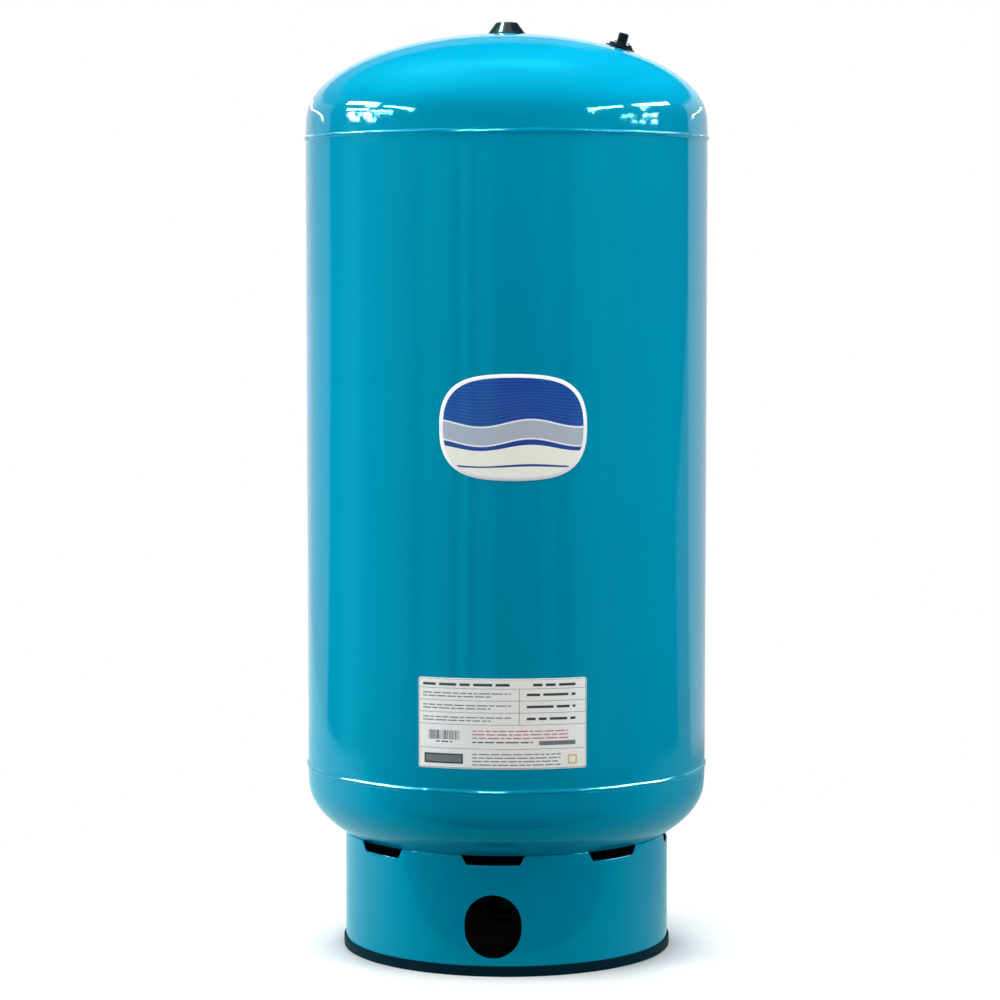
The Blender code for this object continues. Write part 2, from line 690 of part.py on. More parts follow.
def make_valve_cap(frame):
    """The screw cap over the stem, with a domed end, a flared foot and a pull tab."""
    low = cap_base()
    bore = STEM_TUBE_RADIUS + CLEARANCE
    ceiling = STEM_TOP + CAP_SEAL_THICKNESS + 2 * CLEARANCE
    top = ceiling + CAP_CEILING
    section = [(0.0, top)]
    for step in range(CAP_ROUNDING_STEPS + 1):
        angle = math.pi / 2 * step / CAP_ROUNDING_STEPS
        inset = CAP_ROUNDING * (1 - math.sin(angle))
        drop = CAP_DOME + CAP_ROUNDING * (1 - math.cos(angle))
        section.append((CAP_RADIUS - inset, top - drop))
    section += [
        (CAP_RADIUS, low + CAP_FOOT_HEIGHT),
        (CAP_FOOT_RADIUS, low + CAP_FOOT_HEIGHT / 2),
        (CAP_FOOT_RADIUS, low),
        (bore, low),
        (bore, ceiling),
        (0.0, ceiling),
    ]
    piece = turned("valve_cap", section, VALVE_SEGMENTS, PARTS, parent=frame)
    tab_low = low + CAP_TAB_RISE
    tab_high = tab_low + CAP_TAB_THICKNESS
    root = -(CAP_RADIUS + bore) / 2
    tip = -CAP_RADIUS - CAP_TAB_REACH
    tab = [(tip, tab_low), (root, tab_low), (root, tab_high), (tip, tab_high)]
    combine(piece, prism("add_cap_tab", tab, CAP_TAB_WIDTH, CUTTERS, parent=frame), "UNION")
    return settle(piece, "black_plastic")


def make_cap_seal(frame):
    """The rubber disc in the cap, pressed on the stem's end."""
    radius = STEM_TUBE_RADIUS
    low = STEM_TOP + CLEARANCE
    high = low + CAP_SEAL_THICKNESS
    section = [(0.0, high), (radius, high), (radius, low), (0.0, low)]
    piece = turned("cap_seal", section, VALVE_SEGMENTS, PARTS, parent=frame)
    return settle(piece, "black_rubber")


def make_liner():
    """The polymer liner of the water side: it lines the lower head and half of the cylinder."""
    rim_low = CLENCH_RISE
    rim_high = CLENCH_RISE + CLENCH_HEIGHT + RIM_MARGIN
    outer_crown = crown_points(LINER_RADIUS, LINER_DEPTH, LAND_RADIUS, INNER_CHORDS)
    inner_radius = LINER_RADIUS - LINER_WALL
    inner_crown = crown_points(inner_radius, LINER_DEPTH - LINER_WALL, LAND_RADIUS, INNER_CHORDS)
    outer = [(radius, -HEAD_FLANGE - height) for radius, height in outer_crown]
    inner = [(radius, -HEAD_FLANGE - height) for radius, height in inner_crown]
    outer.insert(0, (SPIGOT_HOLE_RADIUS, outer[0][1]))
    inner.insert(0, (SPIGOT_HOLE_RADIUS, inner[0][1]))
    rim = [
        (inner_radius, rim_low - RIM_FLARE),
        (inner_radius + RIM_FLARE, rim_low),
        (inner_radius + RIM_FLARE, rim_high),
        (LINER_RADIUS + RIM_FLARE, rim_high),
        (LINER_RADIUS + RIM_FLARE, rim_low),
        (LINER_RADIUS, rim_low - RIM_FLARE),
    ]
    section = inner + rim + outer[::-1]
    piece = turned("liner", section, LINER_SEGMENTS, PARTS, (0.0, 0.0, LOWER_SEAM_Z))
    return settle(piece, "white_polymer")


def make_diaphragm():
    """The rubber diaphragm, pressed down on the liner as it is with no water in the tank."""
    radius = LINER_RADIUS - LINER_WALL - CLEARANCE
    depth = LINER_DEPTH - LINER_WALL - CLEARANCE
    inner_radius = radius - DIAPHRAGM_WALL
    outer_crown = crown_points(radius, depth, LAND_RADIUS, INNER_CHORDS)[1:]
    inner_crown = crown_points(inner_radius, depth - DIAPHRAGM_WALL, LAND_RADIUS, INNER_CHORDS)[1:]
    outer = [(reach, -HEAD_FLANGE - height) for reach, height in outer_crown]
    inner = [(reach, -HEAD_FLANGE - height) for reach, height in inner_crown]
    raised = flange_top() + CLEARANCE - LOWER_SEAM_Z
    outer = [(0.0, raised), (FLANGE_RADIUS + 2 * CLEARANCE, raised)] + outer
    inner = [(0.0, raised + DIAPHRAGM_WALL), (FLANGE_RADIUS, raised + DIAPHRAGM_WALL)] + inner
    bead_low = CLENCH_RISE + CLEARANCE
    bead_high = CLENCH_RISE + CLENCH_HEIGHT
    bead_out = LINER_RADIUS - LINER_WALL + RIM_FLARE - CLEARANCE
    rim = [
        (inner_radius, bead_low - RIM_FLARE),
        (bead_out - RIM_BEAD, bead_low),
        (bead_out - RIM_BEAD, bead_high),
        (bead_out, bead_high),
        (bead_out, bead_low),
        (radius, bead_low - RIM_FLARE),
    ]
    section = inner + rim + outer[::-1]
    piece = turned("diaphragm", section, LINER_SEGMENTS, PARTS, (0.0, 0.0, LOWER_SEAM_Z))
    return settle(piece, "butyl_rubber")


def make_clench_ring():
    """The steel hoop that presses the diaphragm's bead and the liner's rim to the cylinder."""
    outer = LINER_RADIUS - LINER_WALL + RIM_FLARE - RIM_BEAD - 2 * CLEARANCE
    inner = outer - CLENCH_WALL
    low = CLENCH_RISE + CLEARANCE
    high = CLENCH_RISE + CLENCH_HEIGHT
    section = [(outer, high), (outer, low), (inner, low), (inner, high)]
    piece = turned("clench_ring", section, LINER_SEGMENTS, PARTS, (0.0, 0.0, LOWER_SEAM_Z))
    return settle(piece, "zinc_steel")


def land_outer():
    """World height of the underside of the lower head's flat land."""
    return LOWER_SEAM_Z - head_height(LAND_RADIUS)


def liner_land_top():
    """World height of the liner's upper face over the land."""
    radius = LINER_RADIUS - LINER_WALL
    drop = (LINER_DEPTH - LINER_WALL) * math.sqrt(1 - (LAND_RADIUS / radius) ** 2)
    return LOWER_SEAM_Z - HEAD_FLANGE - drop


def flange_base():
    """World height of the underside of the fitting's flange, on its seal."""
    return liner_land_top() + SEAL_THICKNESS + 2 * CLEARANCE


def flange_top():
    """World height of the top of the fitting's flange."""
    return flange_base() + FLANGE_THICKNESS


def nut_base():
    """World height of the lock nut's lower face."""
    return land_outer() - WASHER_THICKNESS - NUT_THICKNESS - 2 * CLEARANCE


def elbow_top():
    """World height of the elbow's upper face, under the lock nut."""
    return nut_base() - CLEARANCE


def make_inlet_fitting():
    """The flanged stainless spigot that clamps the liner and leads the water through the head."""
    low = elbow_top() - SPIGOT_ENGAGEMENT
    section = [
        (SPIGOT_BORE_RADIUS, flange_top()),
        (FLANGE_RADIUS, flange_top()),
        (FLANGE_RADIUS, flange_base()),
        (SPIGOT_RADIUS, flange_base()),
        (SPIGOT_RADIUS, low),
        (SPIGOT_BORE_RADIUS, low),
    ]
    piece = turned("inlet_fitting", section, FITTING_SEGMENTS, PARTS)
    return settle(piece, "stainless")


def make_flat_ring(name, radius, low, thickness, finish):
    """A flat ring round the spigot."""
    high = low + thickness
    section = [(radius, high), (radius, low), (SPIGOT_HOLE_RADIUS, low), (SPIGOT_HOLE_RADIUS, high)]
    piece = turned(name, section, FITTING_SEGMENTS, PARTS)
    return settle(piece, finish)


def make_inlet_nut():
    """The hexagonal lock nut on the spigot, its corners turned off at both faces."""
    low = nut_base()
    piece = hexagon("inlet_nut", NUT_FLATS, NUT_THICKNESS, PARTS, (0.0, 0.0, low))
    face = NUT_FLATS / 2
    corner = face / math.cos(math.pi / 6)
    high = low + NUT_THICKNESS
    blank = [
        (SPIGOT_HOLE_RADIUS, high + CLEARANCE),
        (face, high + CLEARANCE),
        (corner + CLEARANCE, high - NUT_CHAMFER),
        (corner + CLEARANCE, low + NUT_CHAMFER),
        (face, low - CLEARANCE),
        (SPIGOT_HOLE_RADIUS, low - CLEARANCE),
    ]
    combine(piece, turned("keep_nut_blank", blank, FITTING_SEGMENTS, CUTTERS), "INTERSECT")
    return settle(piece, "zinc_steel")


def collar(name, face, direction, far):
    """A chamfered collar for the elbow, from its face back along its leg."""
    chamfer = ELBOW_COLLAR_CHAMFER
    section = [
        (0.0, face),
        (ELBOW_COLLAR_RADIUS - chamfer, face),
        (ELBOW_COLLAR_RADIUS, face - chamfer),
        (ELBOW_COLLAR_RADIUS, far + chamfer),
        (ELBOW_COLLAR_RADIUS - chamfer, far),
        (0.0, far),
    ]
    piece = turned(name, section, FITTING_SEGMENTS, CUTTERS, (0.0, 0.0, PIPE_AXIS_Z))
    piece.rotation_euler = direction
    return piece


def make_elbow():
    """The stainless elbow: it hangs from the spigot and turns to face the pipe hole."""
    rise = elbow_top() - PIPE_AXIS_Z
    bend_z = PIPE_AXIS_Z + ELBOW_BEND_RADIUS
    arc = []
    for step in range(ELBOW_BEND_STEPS + 1):
        angle = math.pi / 2 * step / ELBOW_BEND_STEPS
        sideways = ELBOW_BEND_RADIUS * (1 - math.cos(angle))
        arc.append((0.0, -sideways, bend_z - ELBOW_BEND_RADIUS * math.sin(angle)))
    top = (0.0, 0.0, elbow_top() - ELBOW_OVERLAP)
    mouth = (0.0, -ELBOW_REACH + ELBOW_OVERLAP, PIPE_AXIS_Z)
    piece = swept_tube("elbow", [top] + arc + [mouth], ELBOW_TUBE_RADIUS, PARTS)

    upright = (0.0, 0.0, 0.0)
    forward = (math.pi / 2, 0.0, 0.0)
    upper_back = rise - ELBOW_COLLAR_LENGTH
    mouth_back = ELBOW_REACH - ELBOW_COLLAR_LENGTH
    combine(piece, collar("add_upper_collar", rise, upright, upper_back), "UNION")
    combine(piece, collar("add_mouth_collar", ELBOW_REACH, forward, mouth_back), "UNION")

    beyond = ELBOW_CUT_MARGIN
    high = (0.0, 0.0, elbow_top() + beyond)
    front = (0.0, -ELBOW_REACH - beyond, PIPE_AXIS_Z)
    bore = swept_tube("cut_elbow_bore", [high] + arc + [front], SPIGOT_BORE_RADIUS, CUTTERS)
    combine(piece, bore, "DIFFERENCE")
    for name, face, depth, direction in (
            ("cut_upper_socket", rise, SPIGOT_ENGAGEMENT + CLEARANCE, upright),
            ("cut_mouth_socket", ELBOW_REACH, ELBOW_SOCKET_DEPTH, forward)):
        section = [
            (0.0, face + beyond),
            (SPIGOT_HOLE_RADIUS, face + beyond),
            (SPIGOT_HOLE_RADIUS, face - depth),
            (0.0, face - depth),
        ]
        cutter = turned(name, section, FITTING_SEGMENTS, CUTTERS, (0.0, 0.0, PIPE_AXIS_Z))
        cutter.rotation_euler = direction
        combine(piece, cutter, "DIFFERENCE")
    return settle(piece, "stainless")


def make_tank():
    """Make every piece of the tank."""
    make_body_cylinder()
    make_body_seam_weld()
    make_girth_weld("upper_girth_weld", UPPER_SEAM_Z, head_below=False)
    make_girth_weld("lower_girth_weld", LOWER_SEAM_Z, head_below=True)
    valve_frame = make_valve_frame()
    make_upper_head(valve_frame)
    make_lower_head()
    make_base_skirt()
    make_foot_ring()
    make_lifting_boss()
    make_top_plug()
    make_valve_boss(valve_frame)
    make_valve_ring_seal(valve_frame)
    make_valve_guard(valve_frame)
    make_valve_stem(valve_frame)
    make_valve_core(valve_frame)
    make_core_pin(valve_frame)
    make_valve_cap(valve_frame)
    make_cap_seal(valve_frame)
    make_liner()
    make_diaphragm()
    make_clench_ring()
    make_inlet_fitting()
    make_flat_ring("inlet_seal", SEAL_RADIUS, liner_land_top() + CLEARANCE, SEAL_THICKNESS, "black_rubber")
    washer_low = land_outer() - CLEARANCE - WASHER_THICKNESS
    make_flat_ring("inlet_washer", WASHER_RADIUS, washer_low, WASHER_THICKNESS, "zinc_steel")
    make_inlet_nut()
    make_elbow()


clear_scene()
PARTS = new_collection("well_pressure_tank")
CUTTERS = new_collection("cutters")
make_tank()
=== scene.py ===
"""Looks of an upright well pressure tank: sheet metal, welds, plug, air valve, base and labels.

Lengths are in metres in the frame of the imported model. The tank's axis is Z, the pipe hole faces
-Y and the air valve leans out on the +X side. An azimuth is an angle round Z from -Y towards +X.
"""
import json
import math

import bmesh
import bpy
import numpy as np
from mathutils import Matrix, Vector


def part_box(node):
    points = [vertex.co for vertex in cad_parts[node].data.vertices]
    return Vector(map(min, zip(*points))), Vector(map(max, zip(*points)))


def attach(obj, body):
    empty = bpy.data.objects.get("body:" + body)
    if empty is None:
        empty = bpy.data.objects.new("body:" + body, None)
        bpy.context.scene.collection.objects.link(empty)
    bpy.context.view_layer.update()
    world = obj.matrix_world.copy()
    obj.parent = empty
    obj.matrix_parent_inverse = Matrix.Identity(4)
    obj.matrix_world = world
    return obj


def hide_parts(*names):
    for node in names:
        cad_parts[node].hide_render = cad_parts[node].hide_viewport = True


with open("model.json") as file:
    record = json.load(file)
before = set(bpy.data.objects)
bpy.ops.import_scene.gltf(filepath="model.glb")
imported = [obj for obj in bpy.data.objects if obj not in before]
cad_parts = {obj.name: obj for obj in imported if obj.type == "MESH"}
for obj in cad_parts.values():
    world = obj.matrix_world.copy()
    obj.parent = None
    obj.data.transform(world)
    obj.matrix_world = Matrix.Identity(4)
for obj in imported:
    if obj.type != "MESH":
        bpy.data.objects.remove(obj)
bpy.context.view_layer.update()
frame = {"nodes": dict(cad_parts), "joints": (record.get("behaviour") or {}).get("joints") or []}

# Sizes read off the frame
BODY_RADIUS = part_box("body_cylinder")[1].x
BODY_LOW, BODY_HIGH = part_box("body_cylinder")[0].z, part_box("body_cylinder")[1].z
APEX_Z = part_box("upper_head")[1].z
SKIRT_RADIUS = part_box("base_skirt")[1].x
SKIRT_LOW, SKIRT_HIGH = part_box("base_skirt")[0].z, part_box("base_skirt")[1].z
FOOT_RADIUS, FOOT_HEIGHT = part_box("foot_ring")[1].x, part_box("foot_ring")[1].z
PLUG_RADIUS, PLUG_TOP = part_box("top_plug")[1].x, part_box("top_plug")[1].z
NUT_LOW, NUT_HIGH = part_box("inlet_nut")[0].z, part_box("inlet_nut")[1].z
ELBOW_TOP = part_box("elbow")[1].z
ELBOW_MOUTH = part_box("elbow")[0].y
VALVE_AXIS = Vector(next(j for j in frame["joints"] if j["name"] == "cap_lift")["axis"])

# Sheet metal, pipe hole, foot strip and the valve's distance from the axis, as the solids have them
CLEARANCE = 0.0003
BODY_WALL = 0.0020
HEAD_WALL = 0.0022
WELD_GROOVE = 0.0046
HEAD_FLANGE = 0.0237
HEAD_LIP_LENGTH = 0.0140
GROOVE_STEP = 0.0014
LAND_RADIUS = 0.0450
SKIRT_WALL = 0.0019
NOTCH_COUNT = 8
NOTCH_TOP_WIDTH = 0.0836
NOTCH_FOOT_WIDTH = 0.0710
NOTCH_DEPTH = 0.0125
PIPE_HOLE_WIDTH = 0.0750
PIPE_HOLE_HEIGHT = 0.0834
PIPE_AXIS_Z = 0.0651
FOOT_WALL = 0.0023
FOOT_WEB = 0.0030
FOOT_SPLIT = 0.0030
LOWER_SEAM_Z = BODY_LOW - WELD_GROOVE / 2
UPPER_SEAM_Z = BODY_HIGH + WELD_GROOVE / 2
CROWN_DEPTH = APEX_Z - UPPER_SEAM_Z - HEAD_FLANGE
EASE_LEAN = math.radians(4.6)
VALVE_OFFSET = 0.1520
PIPE_THREAD_RADIUS = 0.0214

# Air valve, measured along its own axis from the head's outer surface
SOCKET_RADIUS = 0.0105
SOCKET_RISE = 0.0010
SOCKET_DEPTH = 0.0120
SOCKET_BORE = 0.00545
SEAL_GROOVE_RADIUS = 0.00745
SEAL_GROOVE_DEPTH = 0.0016
GUARD_RADIUS = 0.0202
GUARD_LOW = 0.0013
GUARD_TOP = GUARD_LOW + 0.0020
GUARD_WALL_INSIDE = 0.0138
GUARD_WALL_OUTSIDE = 0.0157
GUARD_WALL_HEIGHT = 0.0031
STRAP_INSIDE = 0.0076
STRAP_TOP = 0.0105
STRAP_THICKNESS = 0.0014
STEM_RADIUS = 0.00385
STEM_TOP = 0.0180
STEM_BORE = 0.00265
STEM_PITCH = 0.0008
STEM_THREAD_DEPTH = 0.00045
STEM_THREAD_LOW = 0.0070
STEM_THREAD_HIGH = 0.0176
SHANK_RADIUS = 0.00515
SHANK_DEPTH = 0.0110
AIRWAY_RADIUS = 0.0015
AIRWAY_TOP = 0.0040
CAP_LOW = 0.0066
CAP_RADIUS = 0.00675
CAP_FOOT_RADIUS = 0.0073
CAP_BORE = 0.00415
CAP_CEILING = 0.0196
CAP_TOP = 0.0213
CAP_CORNER = 0.0021

# Elbow of the water connection
ELBOW_PIPE_RADIUS = 0.0225
ELBOW_BORE_RADIUS = 0.0175
ELBOW_BEND_RADIUS = 0.0260
ELBOW_SOCKET_DEPTH = 0.0158
COLLAR_RADIUS = 0.0270
COLLAR_LENGTH = 0.0190
PIPE_PITCH = 0.0022
PIPE_THREAD_DEPTH = 0.0009

# Grid steps, and how far the ripples of a weld lag at its toes, in radians
ROUND_STEPS = 360
MOULDED_STEPS = 144
SMALL_STEPS = 96
RIPPLE_LAG = 1.6


# Shapes

def quads(rows, columns, wrap_rows=False, wrap_columns=False):
    """Corner numbers of the faces of a grid of points, in whole arrays. A wrapped side joins up."""
    down = np.arange(rows if wrap_rows else rows - 1)
    along = np.arange(columns if wrap_columns else columns - 1)
    i, j = np.meshgrid(down, along, indexing="ij")
    below, right = (i + 1) % rows, (j + 1) % columns
    corners = (i * columns + j, i * columns + right, below * columns + right, below * columns + j)
    return beside(*corners).reshape(-1, 4)


def beside(*parts):
    """Numbers put side by side as points. A single number or a row is repeated to fit the others."""
    return np.stack(np.broadcast_arrays(*parts), axis=-1)


def round_axis(radius, angle, height):
    """Points at a radius from Z, an angle from +X and a height."""
    return beside(radius * np.cos(angle), radius * np.sin(angle), height)


def bar_faces(rows, columns):
    """Faces of a bar: a grid that is closed across its rows, with a face over each end."""
    first = [row * columns for row in range(rows)]
    return [*quads(rows, columns, wrap_rows=True), first, [corner + columns - 1 for corner in first]]


def slab_faces(layers, count):
    """Faces of a slab: layers of one outline, with a face over the first and the last."""
    return [*quads(layers, count, wrap_columns=True),
            list(range(count)), list(range((layers - 1) * count, layers * count))]


def merge(mesh, distance, outward=False):
    """Join points closer than a distance, and turn the faces of a closed form outwards."""
    form = bmesh.new()
    form.from_mesh(mesh)
    bmesh.ops.remove_doubles(form, verts=form.verts, dist=distance)
    if outward:
        bmesh.ops.recalc_face_normals(form, faces=form.faces)
    form.to_mesh(mesh)
    form.free()


def show(name, data):
    """Put a mesh, lamp or camera into the scene as an object at the origin."""
    thing = bpy.data.objects.new(name, data)
    bpy.context.scene.collection.objects.link(thing)
    return thing


def build(name, points, faces):
    """Make a closed form from points and faces, with its doubles merged and its faces out."""
    mesh = bpy.data.meshes.new(name)
    mesh.from_pydata(np.asarray(points).reshape(-1, 3).tolist(), [], [list(face) for face in faces])
    merge(mesh, 0.000001, outward=True)
    return show(name, mesh)


def build_ring(name, points):
    """Make a closed form from a grid of points that joins up both ways."""
    return build(name, points, quads(*points.shape[:2], wrap_rows=True, wrap_columns=True))


def dress(piece, material, body, slot, *nodes, crease=34):
    """Shade a piece, give it its material, and let it ride on a body in place of CAD nodes."""
    piece.data.materials.append(material)
    piece.data.shade_smooth()
    piece.data.set_sharp_from_angle(angle=math.radians(crease))
    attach(piece, body)
    if nodes:
        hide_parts(*nodes)
    return piece


def rounded(corners, steps=5):
    """Outline through (x, y, radius) corners, each with a radius turned into an arc.

    An arc touches both of its sides at radius / tan(half the corner's angle) from the corner, and
    its centre lies on the bisector at radius / sin(half the angle).
    """
    points = []
    count = len(corners)
    for index, (x, y, radius) in enumerate(corners):
        here = np.array((x, y))
        if radius == 0:
            points.append(here)
            continue
        back = np.array(corners[index - 1][:2]) - here
        ahead = np.array(corners[(index + 1) % count][:2]) - here
        back, ahead = back / np.linalg.norm(back), ahead / np.linalg.norm(ahead)
        half = math.acos(np.clip(back @ ahead, -1, 1)) / 2
        bisector = (back + ahead) / np.linalg.norm(back + ahead)
        centre = here + bisector * radius / math.sin(half)
        first = here + back * radius / math.tan(half) - centre
        last = here + ahead * radius / math.tan(half) - centre
        sweep = math.atan2(first[0] * last[1] - first[1] * last[0], first @ last)
        for angle in np.linspace(0, sweep, steps + 1):
            cos, sin = math.cos(angle), math.sin(angle)
            points.append(centre + (first[0] * cos - first[1] * sin, first[0] * sin + first[1] * cos))
    return np.array(points)


def turn(outline, steps=ROUND_STEPS, start=0.0, sweep=math.tau):
    """Grid of points: an outline of (radius, height) carried round Z, row by row."""
    whole = abs(sweep - math.tau) < 1e-6
    angles = start + np.linspace(0, sweep, steps, endpoint=not whole)
    return round_axis(outline[:, :1], angles, outline[:, 1:])


def turned(name, outline, steps=ROUND_STEPS, shape=None):
    """Closed form turned about Z. An outline that starts and ends on the axis stays open there."""
    points = turn(outline, steps)
    if shape is not None:
        points = shape(points)
    ring = outline[0, 0] > 1e-6 or outline[-1, 0] > 1e-6
    return build(name, points, quads(len(outline), steps, wrap_rows=ring, wrap_columns=True))


def crown(radius, depth, start, count, end=math.pi / 2):
    """Quarter ellipse of (radius, height) points from a start radius out towards its rim.

    A point is (radius * sin t, depth * cos t), with t in even steps up to an end.
    """
    t = np.linspace(math.asin(start / radius), end, count)
    return beside(radius * np.sin(t), depth * np.cos(t))


def polar(points):
    """Radius, angle from +X and height of each point."""
    x, y, z = points[..., 0], points[..., 1], points[..., 2]
    return np.hypot(x, y), np.arctan2(y, x), z


def swollen(points, scale):
    """Points with their distance from Z multiplied by a scale."""
    return beside(points[..., 0] * scale, points[..., 1] * scale, points[..., 2])


def from_crest(angle, z, pitch):
    """Distance of a point from a helix's crest, as a share of the way to its root."""
    return np.abs(2 * ((z / pitch - angle / math.tau) % 1) - 1)


def head_outline(opening, land):
    """Section of a pressed head, crown up, with its seam plane at height zero.

    The crown is a quarter ellipse down to where its side leans in by EASE_LEAN. From there to
    the weld the lean fades to nothing in even steps, so the radius follows a parabola.
    """
    lip = BODY_RADIUS - BODY_WALL - CLEARANCE
    shoulder = WELD_GROOVE / 2
    t = math.atan(BODY_RADIUS / CROWN_DEPTH / math.tan(EASE_LEAN))
    join = HEAD_FLANGE + CROWN_DEPTH * math.cos(t)
    ease = join - shoulder
    drawn_in = math.tan(EASE_LEAN) * ease / 2
    outer = crown((BODY_RADIUS - drawn_in) / math.sin(t), CROWN_DEPTH, land, 76, t) + (0, HEAD_FLANGE)
    inner_rim = BODY_RADIUS - HEAD_WALL - 0.0009
    inner = crown(inner_rim, CROWN_DEPTH - HEAD_WALL, land, 40) + (0, HEAD_FLANGE)
    share = np.linspace(1, 0, 14)[1:-1]
    flange = beside(BODY_RADIUS - drawn_in * share ** 2, shoulder + ease * share)
    joggle = np.array([
        (BODY_RADIUS, shoulder + 0.0006),
        (BODY_RADIUS - 0.0004, shoulder),
        (lip, shoulder - GROOVE_STEP),
        (lip, -HEAD_LIP_LENGTH),
        (lip - HEAD_WALL, -HEAD_LIP_LENGTH),
        (lip - HEAD_WALL, 0.0),
        (BODY_RADIUS - HEAD_WALL - 0.0002, shoulder + GROOVE_STEP),
    ])
    first = [(opening, outer[0, 1])] if opening > 0 else []
    last = [(opening, inner[0, 1])] if opening > 0 else []
    return np.concatenate([np.array(first).reshape(-1, 2), outer, flange, joggle, inner[::-1],
                           np.array(last).reshape(-1, 2)])


def rolled_wave(points):
    """Slight unevenness of rolled sheet: the radius varies by a few tenths of a millimetre.

    The waves are sums of sines round the body and along it. They fade out towards both welds,
    where the sheet is drawn in instead by the shrinkage of the weld.
    """
    _, angle, z = polar(points)
    along = (z - BODY_LOW) / (BODY_HIGH - BODY_LOW)
    fade = np.clip(np.minimum(along, 1 - along) / 0.10, 0, 1) ** 2
    wave = 0.00012 * np.sin(3 * angle + 0.6) + 0.00007 * np.sin(7 * angle + 2.1 + 1.5 * along)
    wave += 0.00006 * np.sin(2 * angle - 4 * along) * np.sin(math.tau * along * 1.5)
    edge = np.minimum(z - BODY_LOW, BODY_HIGH - z)
    shrink = -0.00035 * np.exp(-((edge / 0.0090) ** 2))
    return swollen(points, 1 + (wave * fade + shrink) / BODY_RADIUS)


def bead_section(half_width, height, count=9):
    """Crown of a weld bead across its width: height times (1 - u squared) to the power 0.8."""
    u = np.linspace(-1, 1, count)
    return u * half_width, height * (1 - u ** 2) ** 0.8, u


def make_body(paint):
    """The rolled cylinder, a sheet with eased edges. Its levels stand closer near the welds."""
    inner, edge = BODY_RADIUS - BODY_WALL, 0.0005
    levels = np.linspace(BODY_LOW + edge, BODY_HIGH - edge, 90)
    near = BODY_LOW + np.array([0.0030, 0.0060, 0.0120, 0.0180])
    levels = np.unique(np.concatenate([levels, near, BODY_LOW + BODY_HIGH - near]))
    outer = beside(BODY_RADIUS, levels)[::-1]
    rim = np.array([(BODY_RADIUS - edge, BODY_LOW), (inner, BODY_LOW),
                    (inner, BODY_HIGH), (BODY_RADIUS - edge, BODY_HIGH)])
    piece = turned("body_cylinder_sheet", np.concatenate([outer, rim]), ROUND_STEPS, rolled_wave)
    return dress(piece, paint, "tank", "teal_paint", "body_cylinder")


def make_heads(paint, underside):
    """The two pressed heads. The lower one has a flat land round the water connection."""
    outline = head_outline(0.0, 0.0) + (0, UPPER_SEAM_Z)
    upper = turned("upper_head_pressing", outline)
    outline = head_outline(PIPE_THREAD_RADIUS, LAND_RADIUS) * (1, -1) + (0, LOWER_SEAM_Z)
    lower = turned("lower_head_pressing", outline)
    return [dress(upper, paint, "tank", "teal_paint", "upper_head"),
            dress(lower, underside, "tank", "teal_paint", "lower_head")]


def make_girth_weld(name, level, node, paint):
    """A weld bead round the body.

    The bead's crown follows bead_section. Small ripples run round it: the height varies with the
    cosine of the ripple count times the angle, and lags towards both toes, so that each ripple is
    an arc.
    """
    ripples = 640
    steps = ripples * 5
    half_width, height, sunk, root_depth = 0.0034, 0.0019, 0.0002, 0.0016
    across, rise, u = bead_section(half_width, height)
    angle = np.linspace(0, math.tau, steps, endpoint=False)[None, :]
    ripple = np.cos(ripples * angle + RIPPLE_LAG * (u ** 2)[:, None])
    wander = 0.00025 * np.sin(5 * angle) + 0.00015 * np.sin(23 * angle + 1.0)
    swell = 1 + 0.07 * np.sin(9 * angle + 0.4) + 0.05 * np.sin(31 * angle)
    lift = rise[:, None] * (0.88 * swell + 0.035 * ripple) - sunk
    radius = BODY_RADIUS + np.minimum(lift, height)
    crest = round_axis(radius, angle, level + across[:, None] + wander)
    root = round_axis(BODY_RADIUS - root_depth, angle, level)
    points = np.concatenate([crest, root])
    return dress(build_ring(name, points), paint, "tank", "teal_paint", node, crease=60)


def make_seam_weld(paint):
    """The bead of the lengthwise weld, straight up the back, with the same arched ripples."""
    ripples = 330
    steps = ripples * 5
    half_width, height, sunk, root_depth, edge = 0.0028, 0.0009, 0.0002, 0.0012, 0.0006
    across, rise, u = bead_section(half_width, height, 7)
    z = np.linspace(BODY_LOW + edge, BODY_HIGH - edge, steps)[None, :]
    along = (z - BODY_LOW) / (BODY_HIGH - BODY_LOW)
    ripple = np.cos(math.tau * ripples * along + RIPPLE_LAG * (u ** 2)[:, None])
    lift = rise[:, None] * (0.9 + 0.10 * ripple) - sunk
    sideways = across[:, None] + 0.0002 * np.sin(z * 60) + 0.00012 * np.sin(z * 231)
    points = np.concatenate([beside(sideways, BODY_RADIUS + lift, z), beside(0, BODY_RADIUS - root_depth, z)])
    piece = build("body_seam_bead", points, bar_faces(len(points), steps))
    return dress(piece, paint, "tank", "teal_paint", "body_seam_weld", crease=60)


def notch_edge(azimuth):
    """Height of the skirt's top edge at an azimuth: full, or lower in a notch with sloping sides.

    The slope is clipped between the notch's floor and the full height, and averaged over a short
    stretch, which rounds its corners.
    """
    pitch = math.tau / NOTCH_COUNT
    away = (azimuth + pitch / 2) % pitch - pitch / 2
    chord = np.abs(SKIRT_RADIUS * np.sin(away))
    slope = (NOTCH_TOP_WIDTH - NOTCH_FOOT_WIDTH) / 2
    stretch = np.linspace(-0.0012, 0.0012, 9)[:, None]
    share = np.clip((chord + stretch - NOTCH_FOOT_WIDTH / 2) / slope, 0, 1).mean(axis=0)
    return SKIRT_HIGH - NOTCH_DEPTH * (1 - share)


def on_skirt(azimuth, height):
    """Points of the skirt's outer surface."""
    return beside(SKIRT_RADIUS * np.sin(azimuth), -SKIRT_RADIUS * np.cos(azimuth), height)


